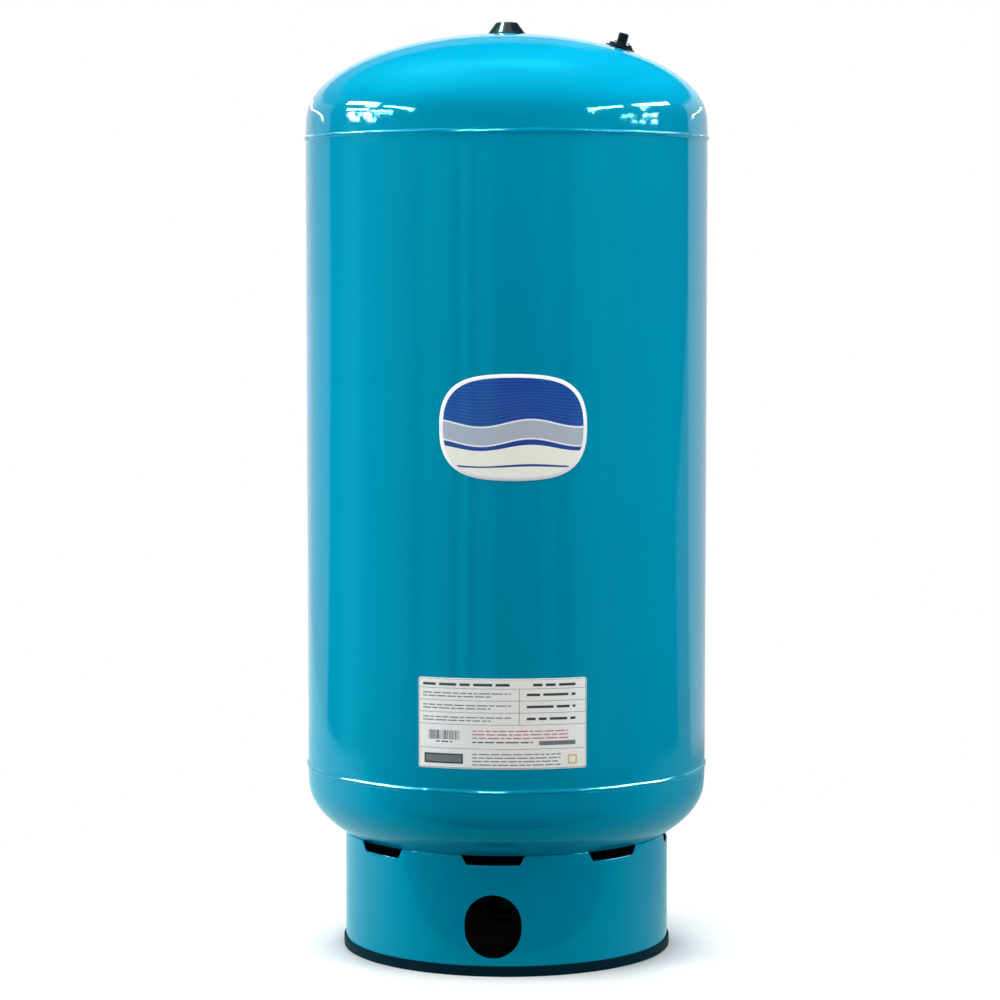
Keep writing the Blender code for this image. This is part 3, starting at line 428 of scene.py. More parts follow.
def hole_edge(dx, dz):
    """Point where a ray from the pipe hole's centre meets its outline, a slot with round ends.

    Where the ray passes the straight side it is cut by the side, and otherwise by the end's circle
    about a centre straight above or below the middle.
    """
    radius = PIPE_HOLE_WIDTH / 2
    offset = (PIPE_HOLE_HEIGHT - PIPE_HOLE_WIDTH) / 2
    length = np.hypot(dx, dz)
    ux, uz = dx / length, dz / length
    side = radius / np.maximum(np.abs(ux), 1e-9)
    along = np.abs(uz) * offset
    end = along + np.sqrt(np.maximum(along ** 2 + radius ** 2 - offset ** 2, 0))
    reach = np.where(side * np.abs(uz) <= offset, side, end)
    return ux * reach, uz * reach


def skirt_azimuths():
    """Azimuths of the skirt's columns: even steps all round, and closer ones at the notches' corners."""
    pitch, bend, apart = math.tau / NOTCH_COUNT, 0.010, 0.0015
    corners = np.concatenate([
        math.asin(width / 2 / SKIRT_RADIUS) + np.linspace(-bend, bend, 9)
        for width in (NOTCH_FOOT_WIDTH, NOTCH_TOP_WIDTH)])
    azimuths = np.concatenate([np.linspace(-math.pi, math.pi, 480, endpoint=False)]
                              + [index * pitch + side * corners
                                 for index in range(-4, 4) for side in (-1, 1)])
    azimuths = np.unique(np.round((azimuths + math.pi) % math.tau - math.pi, 5))
    return azimuths[np.concatenate([[True], np.diff(azimuths) > apart])]


def make_skirt(paint):
    """The rolled skirt, as one sheet of surface that Solidify makes as thick as the metal.

    Above a level line over the pipe hole each column runs up to the notched edge. Below it there
    are plain columns all round, but for a patch in front, where rays run from the patch's
    border in to the hole's outline.
    """
    split, half_patch = 0.1250, math.radians(12)
    azimuths = skirt_azimuths()
    first = np.searchsorted(azimuths, -half_patch)
    last = np.searchsorted(azimuths, half_patch)
    share = np.linspace(0, 1, 7)[:, None]
    upper = on_skirt(azimuths, split + (notch_edge(azimuths) - split) * share)
    faces = [quads(*upper.shape[:2], wrap_columns=True)]
    points = [upper.reshape(-1, 3)]

    levels = np.linspace(SKIRT_LOW, split, 33)
    rest = np.concatenate([azimuths[last:], azimuths[:first + 1] + math.tau])
    lower = on_skirt(rest, levels[:, None])
    faces.append(quads(*lower.shape[:2]) + len(points[0]))
    points.append(lower.reshape(-1, 3))

    front, tall = azimuths[first:last + 1], len(levels) - 2
    border_a = np.concatenate([front, np.full(tall, front[-1]), front[::-1], np.full(tall, front[0])])
    border_z = np.concatenate([np.full(len(front), SKIRT_LOW), levels[1:-1],
                               np.full(len(front), split), levels[-2:0:-1]])
    dx, dz = SKIRT_RADIUS * np.sin(border_a), border_z - PIPE_AXIS_Z
    hx, hz = hole_edge(dx, dz)
    inward = np.linspace(0, 1, 15)[:, None] ** 0.8
    x, z = dx + (hx - dx) * inward, PIPE_AXIS_Z + dz + (hz - dz) * inward
    patch = on_skirt(np.arcsin(x / SKIRT_RADIUS), z)
    faces.append(quads(*patch.shape[:2], wrap_columns=True) + sum(len(part) for part in points))
    points.append(patch.reshape(-1, 3))

    piece = build("skirt_sheet", np.concatenate(points), np.concatenate(faces))
    thick = piece.modifiers.new("Sheet thickness", "SOLIDIFY")
    thick.thickness = SKIRT_WALL
    thick.offset = -1
    soften = piece.modifiers.new("Rolled edges", "BEVEL")
    soften.width = 0.0004
    soften.segments = 2
    soften.limit_method = "ANGLE"
    soften.angle_limit = math.radians(50)
    return dress(piece, paint, "tank", "teal_paint", "base_skirt")


def make_foot_ring(rubber):
    """The channel strip on the skirt's lower edge: a U section carried round, split at the back."""
    outer, leg, corner, root = FOOT_RADIUS, FOOT_WALL, 0.0012, 0.0004
    slot_out = outer - leg
    slot_in = slot_out - SKIRT_WALL - 2 * CLEARANCE
    inner = slot_in - leg
    tip = leg / 2 - 0.00005
    section = rounded([
        (outer, FOOT_HEIGHT, tip), (outer, 0.0, corner),
        (inner, 0.0, corner), (inner, FOOT_HEIGHT, tip),
        (slot_in, FOOT_HEIGHT, tip), (slot_in, FOOT_WEB, root),
        (slot_out, FOOT_WEB, root), (slot_out, FOOT_HEIGHT, tip)], 4)
    half = FOOT_SPLIT / 2 / SKIRT_RADIUS
    points = turn(section, ROUND_STEPS, math.pi / 2 + half, math.tau - 2 * half)
    piece = build("foot_strip", points, bar_faces(len(section), ROUND_STEPS))
    return dress(piece, rubber, "tank", "black_rubber", "foot_ring")


def make_plug(plastic):
    """The moulded plug on the crown: a flared cone with rounded corners, hollow over the boss."""
    wall, post, top_radius = 0.0022, 0.0049, 0.0142
    foot, inside, post_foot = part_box("top_plug")[0].z, PLUG_TOP - wall, APEX_Z + 0.0022
    section = rounded([
        (0.0, PLUG_TOP - 0.0001, 0),
        (top_radius - 0.0060, PLUG_TOP, 0.0020),
        (top_radius, PLUG_TOP - 0.0001, 0.0013),
        (PLUG_RADIUS - 0.0026, foot + 0.0026, 0.0030),
        (PLUG_RADIUS, foot + 0.0008, 0.0004),
        (PLUG_RADIUS - 0.0001, foot + 0.0002, 0),
        (PLUG_RADIUS - wall, foot + 0.0004, 0),
        (top_radius - 0.0016, inside, 0.0010),
        (post, inside, 0.0010),
        (post, post_foot, 0.0006),
        (0.0, post_foot, 0)], 5)
    piece = turned("plug_moulding", section, MOULDED_STEPS)
    return dress(piece, plastic, "tank", "black_plastic", "top_plug")


def valve_place():
    """Matrix of the valve: its point on the upper head and its axis along the head's normal."""
    height = HEAD_FLANGE + CROWN_DEPTH * math.sqrt(1 - (VALVE_OFFSET / BODY_RADIUS) ** 2)
    lean = math.atan2(VALVE_AXIS.x, VALVE_AXIS.z)
    return Matrix.Translation((VALVE_OFFSET, 0, UPPER_SEAM_Z + height)) @ Matrix.Rotation(lean, 4, "Y")


def place_valve(piece, material, body, slot, *nodes, crease=34):
    """Carry a piece made about Z, with the head's surface at height zero, to the valve's place."""
    piece.data.transform(valve_place())
    return dress(piece, material, body, slot, *nodes, crease=crease)


def make_socket(paint):
    """The socket in the head that takes the stem, with a groove for the ring seal in its rim."""
    section = rounded([
        (SOCKET_RADIUS, SOCKET_RISE, 0.0003),
        (SOCKET_RADIUS, -SOCKET_DEPTH, 0.0004),
        (SOCKET_BORE, -SOCKET_DEPTH, 0),
        (SOCKET_BORE, -SEAL_GROOVE_DEPTH, 0),
        (SEAL_GROOVE_RADIUS, -SEAL_GROOVE_DEPTH, 0),
        (SEAL_GROOVE_RADIUS, SOCKET_RISE, 0.0002)], 3)
    piece = turned("valve_socket", section, SMALL_STEPS)
    place_valve(piece, paint, "tank", "teal_paint", "valve_boss")


def make_guard(plastic):
    """The guard: a dish with a low round wall, and a strap from the wall in towards the cap.

    The strap's side outline is set side by side in four layers. The outer two are smaller, which
    eases the strap's long edges.
    """
    wall_top = GUARD_TOP + GUARD_WALL_HEIGHT
    section = rounded([
        (SOCKET_BORE, GUARD_TOP, 0.0003),
        (GUARD_WALL_INSIDE, GUARD_TOP, 0.0006),
        (GUARD_WALL_INSIDE, wall_top, 0.0006),
        (GUARD_WALL_OUTSIDE, wall_top, 0.0007),
        (GUARD_WALL_OUTSIDE, GUARD_TOP, 0.0012),
        (GUARD_RADIUS, GUARD_LOW + 0.0010, 0.0004),
        (GUARD_RADIUS, GUARD_LOW, 0.0002),
        (SOCKET_BORE, GUARD_LOW, 0)], 4)
    dish = turned("valve_guard_dish", section, MOULDED_STEPS)
    place_valve(dish, plastic, "tank", "black_plastic", "valve_guard")

    outer, foot = GUARD_WALL_OUTSIDE + 0.0014, GUARD_TOP - 0.0010
    side = rounded([
        (STRAP_INSIDE, STRAP_TOP, 0.0004),
        (STRAP_INSIDE, STRAP_TOP - STRAP_THICKNESS, 0.0004),
        (GUARD_WALL_INSIDE, GUARD_TOP + 0.0017, 0.0008),
        (GUARD_WALL_INSIDE, foot, 0),
        (outer, foot, 0),
        (outer, GUARD_TOP + 0.0004, 0.0004),
        (GUARD_WALL_OUTSIDE - 0.0009, GUARD_TOP + 0.0038, 0.0012)], 4)
    middle = side.mean(axis=0)
    layers = [(-0.0016, 0.88), (-0.0013, 1.0), (0.0013, 1.0), (0.0016, 0.88)]
    rows = [(middle + (side - middle) * size, y) for y, size in layers]
    points = [beside(row[:, 0], y, row[:, 1]) for row, y in rows]
    strap = build("valve_guard_strap", points, slab_faces(len(layers), len(side)))
    return [dish, place_valve(strap, plastic, "tank", "black_plastic")]


def stem_thread(points):
    """Screw thread on the stem's tube: the radius falls with the distance from the helix's crest."""
    radius, angle, z = polar(points)
    on_tube = (np.abs(radius - STEM_RADIUS) < 0.0001) & (z > STEM_THREAD_LOW) & (z < STEM_THREAD_HIGH)
    depth = STEM_THREAD_DEPTH * from_crest(angle, z, STEM_PITCH)
    return swollen(points, 1 - np.where(on_tube, depth, 0) / np.maximum(radius, 1e-6))


def make_stem(brass):
    """The stem: a threaded tube over a shank that fills the socket, with a hexagon to turn it by."""
    levels = np.linspace(STEM_THREAD_HIGH, 0.0066, 110)
    section = np.concatenate([
        [(STEM_BORE, STEM_TOP), (STEM_RADIUS - 0.0005, STEM_TOP), (STEM_RADIUS - 0.0002, STEM_TOP - 0.0002)],
        beside(STEM_RADIUS, levels),
        [(STEM_RADIUS, 0.0061), (SHANK_RADIUS, 0.0050), (SHANK_RADIUS, -SHANK_DEPTH),
         (AIRWAY_RADIUS, -SHANK_DEPTH), (AIRWAY_RADIUS, AIRWAY_TOP), (STEM_BORE, AIRWAY_TOP)]])
    piece = turned("valve_stem_threaded", section, 48, stem_thread)
    place_valve(piece, brass, "tank", "brass", "valve_stem")
    low = 0.0036
    nut = build_ring("valve_stem_hexagon", hexagon_points(0.0140, low, low + 0.0027, 0.0040, 0.0005, 16))
    place_valve(nut, brass, "tank", "brass", crease=24)


def make_ring_seal(rubber):
    """The rubber ring in the socket's groove."""
    radius, thick, level = 0.00630, 0.00085, -0.00045
    angle = np.linspace(0, math.tau, 16, endpoint=False)
    section = beside(radius + thick * np.cos(angle), level + thick * np.sin(angle))
    place_valve(turned("valve_o_ring", section, 64), rubber, "tank", "black_rubber", "valve_ring_seal")


def make_core(brass):
    """The valve core's sleeve, and the pin in it with a wider foot. The pin is a body of its own."""
    sleeve = rounded([
        (0.00235, 0.0169, 0.0003), (0.00235, 0.0080, 0.0002),
        (0.00095, 0.0080, 0), (0.00095, 0.0169, 0.0002)], 3)
    place_valve(turned("valve_core_sleeve", sleeve, 40), brass, "tank", "brass", "valve_core")
    pin = rounded([
        (0.0, 0.0175, 0), (0.0006, 0.0175, 0.0002), (0.0006, 0.0077, 0),
        (0.0017, 0.0077, 0.0002), (0.0017, 0.0062, 0.0003), (0.0, 0.0062, 0)], 3)
    place_valve(turned("core_pin_turned", pin, 32), brass, "pin", "brass", "core_pin")


def grip_ribs(points):
    """Grip ribs on the cap's wall: the radius swings with the cosine of 24 times the angle."""
    radius, angle, z = polar(points)
    fade = np.clip((z - 0.0082) / 0.0010, 0, 1) * np.clip((0.0193 - z) / 0.0012, 0, 1)
    swing = 0.00016 * (np.cos(24 * angle) - 1) * fade * (radius > 0.0060)
    return swollen(points, 1 + swing / np.maximum(radius, 1e-6))


def make_cap(plastic):
    """The screw cap with its ribbed wall, and the round tab that stands out from its foot.

    More levels are set into the wall's straight part, so that the ribs can fade out on it.
    """
    section = rounded([
        (0.0, CAP_TOP + 0.0002, 0), (CAP_RADIUS, CAP_TOP, CAP_CORNER),
        (CAP_RADIUS, CAP_LOW + 0.0012, 0.0006), (CAP_FOOT_RADIUS, CAP_LOW + 0.0007, 0.0003),
        (CAP_FOOT_RADIUS, CAP_LOW, 0.0002), (CAP_BORE, CAP_LOW, 0.0003),
        (CAP_BORE, CAP_CEILING, 0.0004), (0.0, CAP_CEILING, 0)], 6)
    levels = np.linspace(0.0186, CAP_LOW + 0.0018, 16)
    to_wall_top = np.hypot(section[:, 0] - CAP_RADIUS, section[:, 1] - (CAP_TOP - CAP_CORNER))
    cut = int(np.argmin(to_wall_top)) + 1
    section = np.concatenate([section[:cut], beside(CAP_RADIUS, levels), section[cut:]])
    cap = turned("valve_cap_moulding", section, MOULDED_STEPS, grip_ribs)
    place_valve(cap, plastic, "cap", "black_plastic", "valve_cap")

    root, half, middle = -0.0052, 0.0025, -0.0072
    tip = -CAP_RADIUS - 0.0036
    arc = np.linspace(math.pi / 2, 3 * math.pi / 2, 17)
    rim_x = np.concatenate([[root], tip + half + half * np.cos(arc), [root]])
    rim_y = np.concatenate([[half], half * np.sin(arc), [-half]])
    low, high, ease = CAP_LOW + 0.0014, CAP_LOW + 0.0026, 0.0002
    layers = [(0.90, low), (1.0, low + ease), (1.0, high - ease), (0.90, high)]
    points = [beside(middle + (rim_x - middle) * size, rim_y * size, z) for size, z in layers]
    tab = build("valve_cap_tab", points, slab_faces(len(layers), len(rim_x)))
    return [cap, place_valve(tab, plastic, "cap", "black_plastic")]


def make_cap_seal(rubber):
    """The rubber disc under the cap's ceiling."""
    section = rounded([(0.0, 0.0193, 0), (STEM_RADIUS, 0.0193, 0.0001),
                       (STEM_RADIUS, 0.0183, 0.0001), (0.0, 0.0183, 0)], 2)
    place_valve(turned("valve_cap_seal", section, 48), rubber, "cap", "black_rubber", "cap_seal")


def make_valve(plastic, brass, rubber, paint):
    """The air valve, from its socket up to its cap. The plastic pieces are returned."""
    make_socket(paint)
    guard = make_guard(plastic)
    make_stem(brass)
    make_ring_seal(rubber)
    make_core(brass)
    cap = make_cap(plastic)
    make_cap_seal(rubber)
    return [*guard, *cap]


def hexagon_points(flats, low, high, bore, chamfer, per_side):
    """Grid of a hexagonal nut: the radius is the hexagon's, cut back by a cone at both faces.

    At an angle a from a flat's middle the hexagon's radius is half the flats over cos a. The cone
    starts a little inside the flats at the face, and reaches the corners within the chamfer.
    """
    angle = np.linspace(0, math.tau, 6 * per_side, endpoint=False)
    away = (angle + math.pi / 6) % (math.pi / 3) - math.pi / 6
    side = flats / 2 / np.cos(away)
    levels = low + (high - low) * np.array([0, 0.04, 0.10, 0.18, 0.30, 0.5, 0.70, 0.82, 0.90, 0.96, 1])
    depth = np.minimum(levels - low, high - levels)[:, None]
    cone = flats / 2 * 0.985 + depth * (flats / 2 / math.cos(math.pi / 6) - flats / 2) / chamfer
    hole = np.full((1, len(angle)), bore)
    radius = np.concatenate([hole, np.minimum(side, cone), hole])
    levels = np.concatenate([[low], levels, [high]])[:, None]
    return round_axis(radius, angle, levels)


def pipe_thread(points):
    """Pipe thread: in the collar's bore the radius falls from the crest by PIPE_THREAD_DEPTH."""
    radius, angle, z = polar(points)
    inside = np.clip((PIPE_THREAD_RADIUS + 0.0001 - radius) / 0.0001, 0, 1) * (z < COLLAR_LENGTH - 0.0012)
    depth = inside * PIPE_THREAD_DEPTH * from_crest(angle, z, PIPE_PITCH)
    return swollen(points, 1 - depth / radius)


def make_water_connection(zinc, stainless):
    """The lock nut and the elbow: a pipe bent through a quarter turn with a collar at each end.

    The pipe's section is a circle carried along a line that runs down the axis, round a quarter
    circle and out to the mouth. Each collar is a turned ring, and the mouth's bore has a thread.
    """
    nut = build_ring("lock_nut", hexagon_points(0.0580, NUT_LOW, NUT_HIGH, PIPE_THREAD_RADIUS, 0.0016, 24))
    dress(nut, zinc, "tank", "zinc_steel", "inlet_nut", crease=24)

    bend = ELBOW_BEND_RADIUS
    t = np.linspace(0, math.pi / 2, 25)
    path_y = np.concatenate([[0.0], -bend * (1 - np.cos(t)), [ELBOW_MOUTH + ELBOW_SOCKET_DEPTH]])
    path_z = np.concatenate([[ELBOW_TOP - 0.0070], PIPE_AXIS_Z + bend * (1 - np.sin(t)), [PIPE_AXIS_Z]])
    lean = np.concatenate([[0.0], t, [math.pi / 2]])
    path_y, path_z, lean = path_y[:, None], path_z[:, None], lean[:, None]
    angle = np.linspace(0, math.tau, 72, endpoint=False)

    def sweep(radius):
        """A circle carried along the elbow's middle line and leant with it."""
        side, rise = radius * np.cos(angle), radius * np.sin(angle)
        return beside(side, path_y + rise * np.cos(lean), path_z + rise * np.sin(lean))

    # The elbow's stainless is the darker copy, painted shade for the dark inside of the base
    walls = np.concatenate([sweep(ELBOW_PIPE_RADIUS), sweep(ELBOW_BORE_RADIUS)[::-1]])
    pipe = build_ring("elbow_pipe", walls)
    dress(pipe, stainless, "tank", "stainless", "elbow")

    rim, foot = (COLLAR_RADIUS, COLLAR_LENGTH, 0.0015), (COLLAR_RADIUS, 0.0, 0.0012)
    outside = rounded([(PIPE_THREAD_RADIUS + 0.0012, COLLAR_LENGTH, 0), rim, foot,
                       (ELBOW_PIPE_RADIUS - 0.001, 0.0, 0)], 5)
    levels = np.linspace(0.0010, COLLAR_LENGTH - 0.0010, 70)
    bore = beside(PIPE_THREAD_RADIUS, levels)
    section = np.concatenate([outside, [(PIPE_THREAD_RADIUS, 0.0005)], bore])
    mouth = turned("elbow_mouth_collar", section, 120, pipe_thread)
    mouth.data.transform(Matrix.Translation((0, ELBOW_MOUTH + COLLAR_LENGTH, PIPE_AXIS_Z))
                         @ Matrix.Rotation(math.pi / 2, 4, "X"))
    dress(mouth, stainless, "tank", "stainless")
    section = rounded([(PIPE_THREAD_RADIUS, COLLAR_LENGTH, 0), rim, foot, (PIPE_THREAD_RADIUS, 0.0, 0)], 5)
    upper = turned("elbow_upper_collar", section, 120)
    upper.data.transform(Matrix.Translation((0, 0, ELBOW_TOP - COLLAR_LENGTH)))
    dress(upper, stainless, "tank", "stainless")


# Labels

def label_sheet(name, azimuth, columns, rows, colours, material):
    """A thin sticker on the body: a grid of colour fields whose borders are lines of the grid.

    columns are distances along the body from the label's middle, rows are heights, one set for
    each column, and colours has one colour for each cell. A cell's corners all carry its colour.
    """
    lift, thickness = 0.00035, 0.00025
    radius = BODY_RADIUS + lift
    angle = math.radians(azimuth) + columns / BODY_RADIUS
    points = beside(radius * np.sin(angle), -radius * np.cos(angle), rows)
    mesh = bpy.data.meshes.new(name)
    faces = quads(*rows.shape)[:, ::-1] if rows[0, 0] > rows[-1, 0] else quads(*rows.shape)
    mesh.from_pydata(points.reshape(-1, 3).tolist(), [], faces.tolist())
    paint = mesh.color_attributes.new("print", "FLOAT_COLOR", "CORNER")
    cells = np.repeat(colours.reshape(-1, 3), 4, axis=0)
    paint.data.foreach_set("color", np.c_[cells, np.ones(len(cells))].astype(np.float32).ravel())
    place = mesh.uv_layers.new(name="label")
    flat = beside(columns, rows).reshape(-1, 2)[faces.ravel()]
    place.data.foreach_set("uv", flat.astype(np.float32).ravel())
    merge(mesh, 0.000002)
    piece = show(name, mesh)
    thick = piece.modifiers.new("Sticker thickness", "SOLIDIFY")
    thick.thickness = thickness
    thick.offset = -1
    return dress(piece, material, "tank", "teal_paint")


# Colour of each printed field, as linear light
WHITE_PRINT = (0.95, 0.96, 0.98)
BLUE_PRINT = (0.002, 0.040, 0.300)
PALE_BLUE_PRINT = (0.006, 0.085, 0.400)
SILVER_PRINT = (0.440, 0.490, 0.590)
CREAM_PRINT = (0.950, 0.940, 0.840)
PAPER_PRINT = (0.930, 0.940, 0.910)
GREY_PRINT = (0.035, 0.038, 0.045)
SOFT_GREY_PRINT = (0.180, 0.185, 0.190)
RED_PRINT = (0.560, 0.130, 0.150)
YELLOW_PRINT = (0.760, 0.560, 0.090)


def make_badge(material):
    """The badge on the body's middle: an arched plate with a white border and wavy bands.

    Every row line of the grid follows the border of a band. A band's border is a level height
    plus a sine wave, kept between the arched inner outlines, so the bands end at the border.
    """
    half_width, low, high, border = 0.0960, 0.6500, 0.7860, 0.0048
    middle = (low + high) / 2
    share = np.sin(np.linspace(-math.pi / 2, math.pi / 2, 97))
    inner_half = half_width - border
    columns = np.unique(np.concatenate([share * half_width, [-inner_half, inner_half]]))

    def outline(half, tall):
        """Half height at each column: a level stretch that rounds off to nothing at the ends."""
        reach = np.clip(np.abs(columns) / half, 0, 1)
        return tall * (1 - reach ** 5) ** 0.40 * (1 - 0.16 * reach ** 2)

    outer = outline(half_width, (high - low) / 2)
    inner = outline(inner_half, (high - low) / 2 - border)
    wave = 0.0050 * np.sin(columns / half_width * math.pi * 1.5 + 0.5)
    bands = []
    blue_line = np.linspace(0.0600, 0.0060, 28)
    for index, level in enumerate(blue_line):
        colour = BLUE_PRINT if index % 2 == 0 else PALE_BLUE_PRINT
        bands.append((level + wave * (index / (len(blue_line) - 1)), colour))
    bands += [(0.0040 + wave, WHITE_PRINT), (-0.0180 + wave, SILVER_PRINT), (-0.0200 + wave, WHITE_PRINT),
              (-0.0260 + wave * 0.8, BLUE_PRINT), (-0.0280 + wave * 0.8, WHITE_PRINT),
              (-0.0480 + wave * 0.3, CREAM_PRINT), (-0.0505 + wave * 0.2, BLUE_PRINT),
              (-0.0700 + 0 * wave, CREAM_PRINT)]
    lines, colours = [outer, inner], [WHITE_PRINT]
    for border_line, colour in bands:
        lines.append(np.clip(border_line, -inner, inner))
        colours.append(colour)
    lines += [-inner, -outer]
    colours += [CREAM_PRINT, WHITE_PRINT]
    rows = middle + np.array(lines)
    grid = np.repeat(np.array(colours)[:, None, :], len(columns) - 1, axis=1)
    return label_sheet("badge", 6.6, columns, rows, grid, material)


def make_rating_label(material):
    """The data label low on the body: a ruled table of plain bars on off-white stock.

    Each printed bar is a rectangle (left, right, low, high, colour) in millimetres from the
    label's lower left corner. The rectangles' sides are the lines of the grid, and a later one
    covers the ones before it.
    """
    width, tall, corner, foot = 221.0, 117.0, 3.0, 0.2800
    draws = np.random.default_rng(20)
    bars = [(0.0, width, 0.0, tall, PAPER_PRINT), (1.2, width - 1.2, 1.2, tall - 1.2, GREY_PRINT),
            (1.7, width - 1.7, 1.7, tall - 1.7, PAPER_PRINT)]

    def text_line(left, right, level, size, colour=GREY_PRINT):
        """Words stand as short bars of changing length."""
        place = left
        while place < right - 2:
            length = min(draws.uniform(3.0, 11.0) * size, right - place)
            bars.append((place, place + length, level, level + size, colour))
            place += length + 1.3 * size

    for level in (103.5, 88.0, 72.5, 57.0, 26.0):
        bars.append((1.2, width - 1.2, level, level + 0.5, GREY_PRINT))
    bars.append((132.0, 132.6, 57.0, 103.5, GREY_PRINT))
    text_line(6, 120, 107.0, 3.4)
    text_line(150, 206, 107.0, 3.4)
    for level in (94.5, 79.0, 63.5):
        text_line(6, 122, level + 2.2, 1.5, SOFT_GREY_PRINT)
        text_line(6, 96, level - 1.8, 1.5, SOFT_GREY_PRINT)
        text_line(142, 206, level, 3.2)
    bars.append((12.0, 58.0, 33.0, 51.0, WHITE_PRINT))
    place = 14.0
    while place < 55.0:
        thick = draws.choice([0.45, 0.45, 0.9, 1.35])
        bars.append((place, place + thick, 37.5, 49.5, GREY_PRINT))
        place += thick + draws.choice([0.45, 0.9])
    text_line(24, 46, 34.0, 1.6)
    for level in (48.5, 44.0, 39.5):
        text_line(72, 196, level, 1.5, RED_PRINT)
    text_line(72, 150, 34.0, 1.6)
    bars.append((158.0, 206.0, 31.0, 36.5, SOFT_GREY_PRINT))
    bars.append((8.0, 60.0, 6.5, 19.5, GREY_PRINT))
    bars.append((10.0, 58.0, 8.5, 17.5, SOFT_GREY_PRINT))
    for level in (18.5, 14.0, 9.5, 5.0):
        text_line(72, 186, level, 1.4, SOFT_GREY_PRINT)
    bars.append((196.0, 208.0, 6.0, 18.0, YELLOW_PRINT))
    bars.append((198.0, 206.0, 8.0, 16.0, PAPER_PRINT))

    edges = np.array([bar[:4] for bar in bars])
    arc = corner * (1 - np.cos(np.linspace(0, math.pi / 2, 7)))
    lines = [edges[:, :2].ravel(), np.linspace(0, width, 88), arc, width - arc]
    across = np.unique(np.round(np.concatenate(lines), 3))
    up = np.unique(np.round(edges[:, 2:].ravel(), 3))
    centre_x, centre_y = (across[1:] + across[:-1]) / 2, (up[1:] + up[:-1]) / 2
    grid = np.zeros((len(centre_y), len(centre_x), 3))
    for left, right, low, high, colour in bars:
        inside = ((centre_y > low) & (centre_y < high))[:, None] & (centre_x > left) & (centre_x < right)
        grid[inside] = colour
    columns = (across - width / 2) / 1000
    inside = np.clip(np.minimum(across, width - across), 0, corner)
    inset = corner - np.sqrt(np.maximum(corner ** 2 - (corner - inside) ** 2, 0))
    rows = foot + np.clip(up[:, None], inset, tall - inset) / 1000
    return label_sheet("rating_label", 3.5, columns, rows, grid, material)


# Materials

def add(tree, kind, inputs=(), **settings):
    """Add a shader node. Each input is a name or number with a value, or the socket that feeds it."""
    node = tree.nodes.new(kind)
    for key, value in settings.items():
        setattr(node, key, value)
    for key, value in inputs:
        if isinstance(value, bpy.types.NodeSocket):
            tree.links.new(value, node.inputs[key])
        else:
            node.inputs[key].default_value = value
    return node


def maths(tree, operation, first, second=0.0):
    """The result of a Math node."""
    return add(tree, "ShaderNodeMath", [(0, first), (1, second)], operation=operation).outputs[0]


def times(tree, first, second):
    """The product of two values."""
    return maths(tree, "MULTIPLY", first, second)


def plus(tree, first, second):
    """The sum of two values."""
    return maths(tree, "ADD", first, second)


def length_of(tree, vector):
    """The length of a vector."""
    return add(tree, "ShaderNodeVectorMath", [(0, vector)], operation="LENGTH").outputs["Value"]


def between(tree, value, low, high, start=0.0, end=1.0, step="LINEAR"):
    """A value's place between two limits, carried over to between a start and an end."""
    inputs = [("Value", value), ("From Min", low), ("From Max", high), ("To Min", start), ("To Max", end)]
    return add(tree, "ShaderNodeMapRange", inputs, interpolation_type=step).outputs[0]


def blend(tree, share, first, second):
    """A mix of two colours: a share of zero gives the first and a share of one the second."""
    return add(tree, "ShaderNodeMix", [(0, share), (6, first), (7, second)], data_type="RGBA").outputs[2]


def noise(tree, place, scale, detail, roughness=0.5):
    """The value of a noise texture at a place."""
    inputs = [("Vector", place), ("Scale", scale), ("Detail", detail), ("Roughness", roughness)]
    return add(tree, "ShaderNodeTexNoise", inputs).outputs["Fac"]


def relief(tree, surface, distance):
    """A normal that is tilted by the height field of the surface skin."""
    inputs = [("Height", surface.outputs["Height"]), ("Distance", distance), ("Strength", 1.0)]
    return add(tree, "ShaderNodeBump", inputs).outputs[0]


def new_group(name, inputs, outputs):
    """A shader node group. Its inputs are given as (name, value) and its outputs as names."""
    tree = bpy.data.node_groups.new(name, "ShaderNodeTree")
    for socket, value in inputs:
        made = tree.interface.new_socket(name=socket, in_out="INPUT", socket_type="NodeSocketFloat")
        made.default_value = value
    for socket in outputs:
        tree.interface.new_socket(name=socket, in_out="OUTPUT", socket_type="NodeSocketFloat")
    return tree, tree.nodes.new("NodeGroupInput").outputs, tree.nodes.new("NodeGroupOutput")


def new_material(name):
    """A material with its node tree and its Principled BSDF."""
    material = bpy.data.materials.new(name)
    material.use_nodes = True
    return material, material.node_tree, material.node_tree.nodes["Principled BSDF"]


def make_orange_peel_group():
    """Sprayed or moulded skin: a height field of soft pimples over longer waves, and fine specks."""
    tree, given, out = new_group(
        "surface skin", [("Pimple Scale", 320.0), ("Wave Scale", 26.0), ("Wave Share", 0.5)],
        ["Height", "Speck", "Cloud"])
    place = tree.nodes.new("ShaderNodeTexCoord").outputs["Object"]
    pimple = noise(tree, place, given["Pimple Scale"], 1.5, 0.4)
    wave = noise(tree, place, given["Wave Scale"], 1.0)
    height = plus(tree, pimple, times(tree, wave, given["Wave Share"]))
    tree.links.new(height, out.inputs["Height"])
    tree.links.new(noise(tree, place, 900.0, 1.0), out.inputs["Speck"])
    tree.links.new(noise(tree, place, 5.0, 3.0), out.inputs["Cloud"])
    return tree


